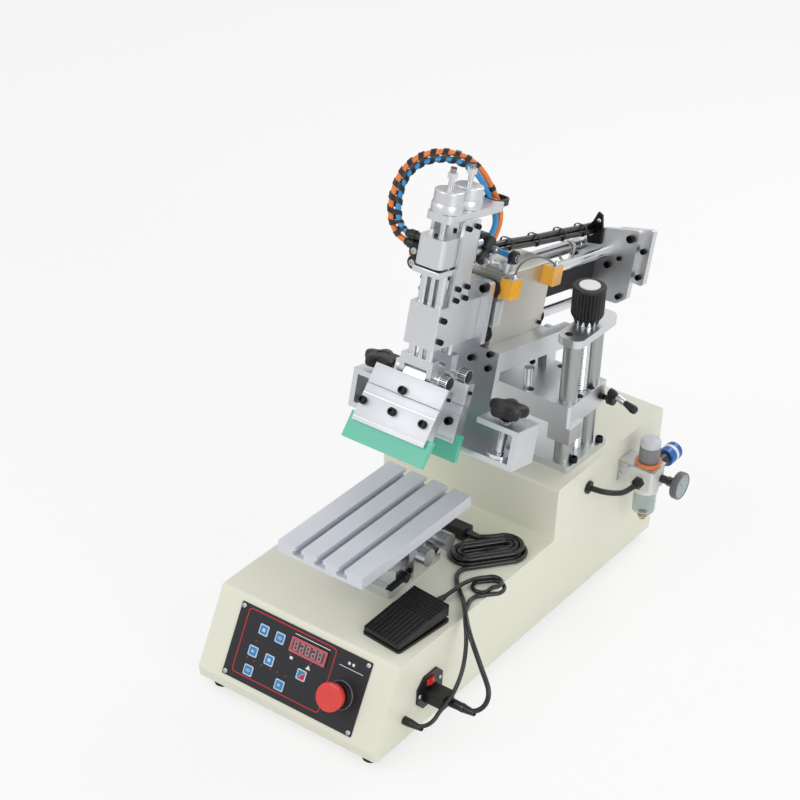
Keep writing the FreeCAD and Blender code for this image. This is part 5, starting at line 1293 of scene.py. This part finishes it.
# %% Gauge and hand valve
gauge_seat = seat(along(233, 621, 164), X_WAY)
gauge = lathe("gauge_case", [
    (0, 0), (17.0, 0), (19.6, 1.0), (20.8, 3.0), (21.0, 8.0), (20.8, 10.8), (20.0, 12.0), (18.9, 12.0),
    (18.5, 10.4), (0, 10.4)], 96, gauge_seat, "gauge_black", "cabinet", "ring_grey")
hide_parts("pressure_gauge")
lathe("gauge_stem", [
    (0, -24), (6.0, -24), (6.0, -14), (7.2, -13, flats), (7.2, -5, flats), (5.0, -4), (5.0, 0.5), (0, 0.5)],
    48, gauge_seat, "gauge_black", "cabinet")
dial = [(0, 10.3), (18.3, 10.3), (18.3, 10.7), (0, 10.7)]
lathe("gauge_dial", dial, 64, gauge_seat, "regulator_grey", "cabinet", "white")


def on_dial(degrees, *sizes):
    """A flat block on the dial, turned about the gauge's axis."""
    return block(*sizes, 0), gauge_seat @ Matrix.Rotation(math.radians(degrees), 4, "Z")


marks = [on_dial(40, -0.45, 0.45, -0.6, 13.5, 10.8, 11.1)]
marks += [on_dial(-135 + 27 * step, -0.35, 0.35, 13.6, 16.8, 10.6, 10.85) for step in range(11)]
piece_of("gauge_marks", marks, "gauge_black", "cabinet")
glass = [(0, 11.4), (18.6, 11.4), (18.6, 12.0), (0, 12.2)]
lathe("gauge_glass", glass, 64, gauge_seat, "bowl_clear", "cabinet")


def ribs(start, count):
    """Rings of the valve's ribs, one after the other."""
    rings = []
    for step in range(count):
        low = start + 2.1 * step
        rings += [(13.9, low), (13.9, low + 1.3), (13.2, low + 1.5), (13.2, low + 1.9)]
    return rings


valve_seat = seat(along(190, 664, 170), Y_WAY)
grip = lathe("valve_grip", [
    (10.1, 0), (13.0, 0), *ribs(0.8, 5), (13.6, 12.0), (13.6, 20.0), *ribs(20.4, 4), (12.6, 30.0),
    (10.1, 30.0), (10.1, 0)], 64, valve_seat, "valve_blue", "hand_valve")
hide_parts("valve_sleeve")
pale_band = [(13.4, 13.0), (13.8, 13.1), (13.8, 18.9), (13.4, 19.0), (13.4, 13.0)]
lathe("valve_band", pale_band, 64, valve_seat, "valve_blue", "hand_valve", "white")
lathe("tube_nut", [
    (0, -1), (8.6, -1, flats), (9.0, 0, flats), (9.0, 7.4, flats), (6.4, 8.4), (5.6, 12.8), (4.4, 13.4),
    (0, 13.4)], 48, seat(along(190, 590, 165), -Y_WAY), "black_plastic", "cabinet")
wall_flange = [(4.4, 0), (8.8, 0), (8.8, 1.6), (6.6, 3.0), (5.6, 6.0), (4.4, 6.4), (4.4, 0)]
lathe("wall_flange", wall_flange, 48, seat(along(150, 511, 180), X_WAY), "tube_black", "cabinet")
print("regulator dressed")

# %% [markdown]
# A lead never leaves a housing bare. A soft tapered sleeve with grooves spreads the bend where each
# lead goes into the plug, the inlet and the pedal.

# %% Bend sleeves
def bend_sleeve(name, place, way, radius, length):
    """A soft tapered sleeve with grooves round a lead."""
    collar = 3.0
    steps = 6
    pitch = (length - collar) / steps
    rings = [(radius + 0.1, 0), (radius * 1.9, 0), (radius * 1.9, collar)]
    for step in range(steps):
        wide = radius * (1.85 - 0.65 * (step + 0.5) / steps)
        low = collar + pitch * step
        rings += [(wide, low + 0.4), (wide, low + pitch * 0.6), (wide * 0.88, low + pitch * 0.8)]
    rings += [(radius + 0.2, length), (radius + 0.1, length), (radius + 0.1, 0)]
    lathe(name, rings, 32, seat(place, way), "cord_black", "cabinet")


bend_sleeve("plug_sleeve", mains_points[-1], (mains_points[-2] - mains_points[-1]).normalized(), 3.5, 24.0)
bend_sleeve("gland_sleeve", pedal_points[0], X_WAY, 3.0, 20.0)
sunk = 0.004
bend_sleeve("inlet_sleeve", mains_points[0] - X_WAY * sunk, X_WAY, 3.5, 22.0)
bend_sleeve("pedal_sleeve", pedal_points[-1], (pedal_points[-2] - pedal_points[-1]).normalized(), 3.0, 20.0)
for master in head_masters.values():
    bpy.data.objects.remove(master)
print("leads dressed")

# %% [markdown]
# The floor is a plain pale sheet and the light is soft, from large lamps, so that colours read about as
# they are. The backdrop is white for the camera, and also in what shiny metal mirrors.

# %% Floor, lamps and world
floor = set_piece("floor", [(-6, -6, 0), (6, -6, 0), (6, 6, 0), (-6, 6, 0)], [(0, 1, 2, 3)])
floor_finish = Finish("pale_floor", (0.93, 0.93, 0.93, 1), 0.7)
floor_finish.set(Roughness=0.65 + 0.1 * floor_finish.noise(4.0))
glow = floor_finish.node("ShaderNodeEmission", Strength=1.0)
rays = floor_finish.node("ShaderNodeLightPath")
glow_share = 0.72
lifted = Value(floor_finish.tree, rays.outputs["Is Camera Ray"]) * glow_share
mixed = floor_finish.node("ShaderNodeMixShader", Fac=lifted)
floor_finish.plug(mixed.inputs[1], floor_finish.shader.outputs[0])
floor_finish.plug(mixed.inputs[2], glow.outputs[0])
floor_finish.plug(floor_finish.tree.nodes["Material Output"].inputs["Surface"], mixed.outputs[0])
floor.data.materials.append(floor_finish.material)
lamp_target = Vector((0.15, 0.35, 0.2))
for name, place, size, power in (
        ("key", (-0.9, -1.9, 2.3), 1.9, 19.0), ("fill", (2.6, -0.6, 1.4), 1.6, 17.0),
        ("rim", (0.4, 2.4, 2.0), 1.2, 14.0)):
    light = bpy.data.lights.new(name, "AREA")
    light.shape = "DISK"
    light.size = size
    light.energy = power
    lamp = linked(name, light)
    lamp.location = place
    lamp.rotation_euler = (lamp_target - Vector(place)).to_track_quat("-Z", "Y").to_euler()
world = bpy.data.worlds.new("studio")
world.use_nodes = True
scene.world = world
tree = world.node_tree
ambient = tree.nodes["Background"]
ambient.inputs["Color"].default_value = (1, 1, 1, 1)
ambient.inputs["Strength"].default_value = 0.62
backdrop = tree.nodes.new("ShaderNodeBackground")
backdrop.inputs["Strength"].default_value = 1.0
path = tree.nodes.new("ShaderNodeLightPath")
seen = Value(tree, path.outputs["Is Camera Ray"]) + Value(tree, path.outputs["Is Glossy Ray"])
seen = seen + Value(tree, path.outputs["Is Transmission Ray"])
choice = tree.nodes.new("ShaderNodeMixShader")
tree.links.new(seen.join("MINIMUM", seen, 1.0).socket, choice.inputs["Fac"])
tree.links.new(ambient.outputs[0], choice.inputs[1])
tree.links.new(backdrop.outputs[0], choice.inputs[2])
tree.links.new(choice.outputs[0], tree.nodes["World Output"].inputs["Surface"])
print("lamps", len(bpy.data.lights), "world", world.name)

# %% The end
bpy.context.view_layer.update()
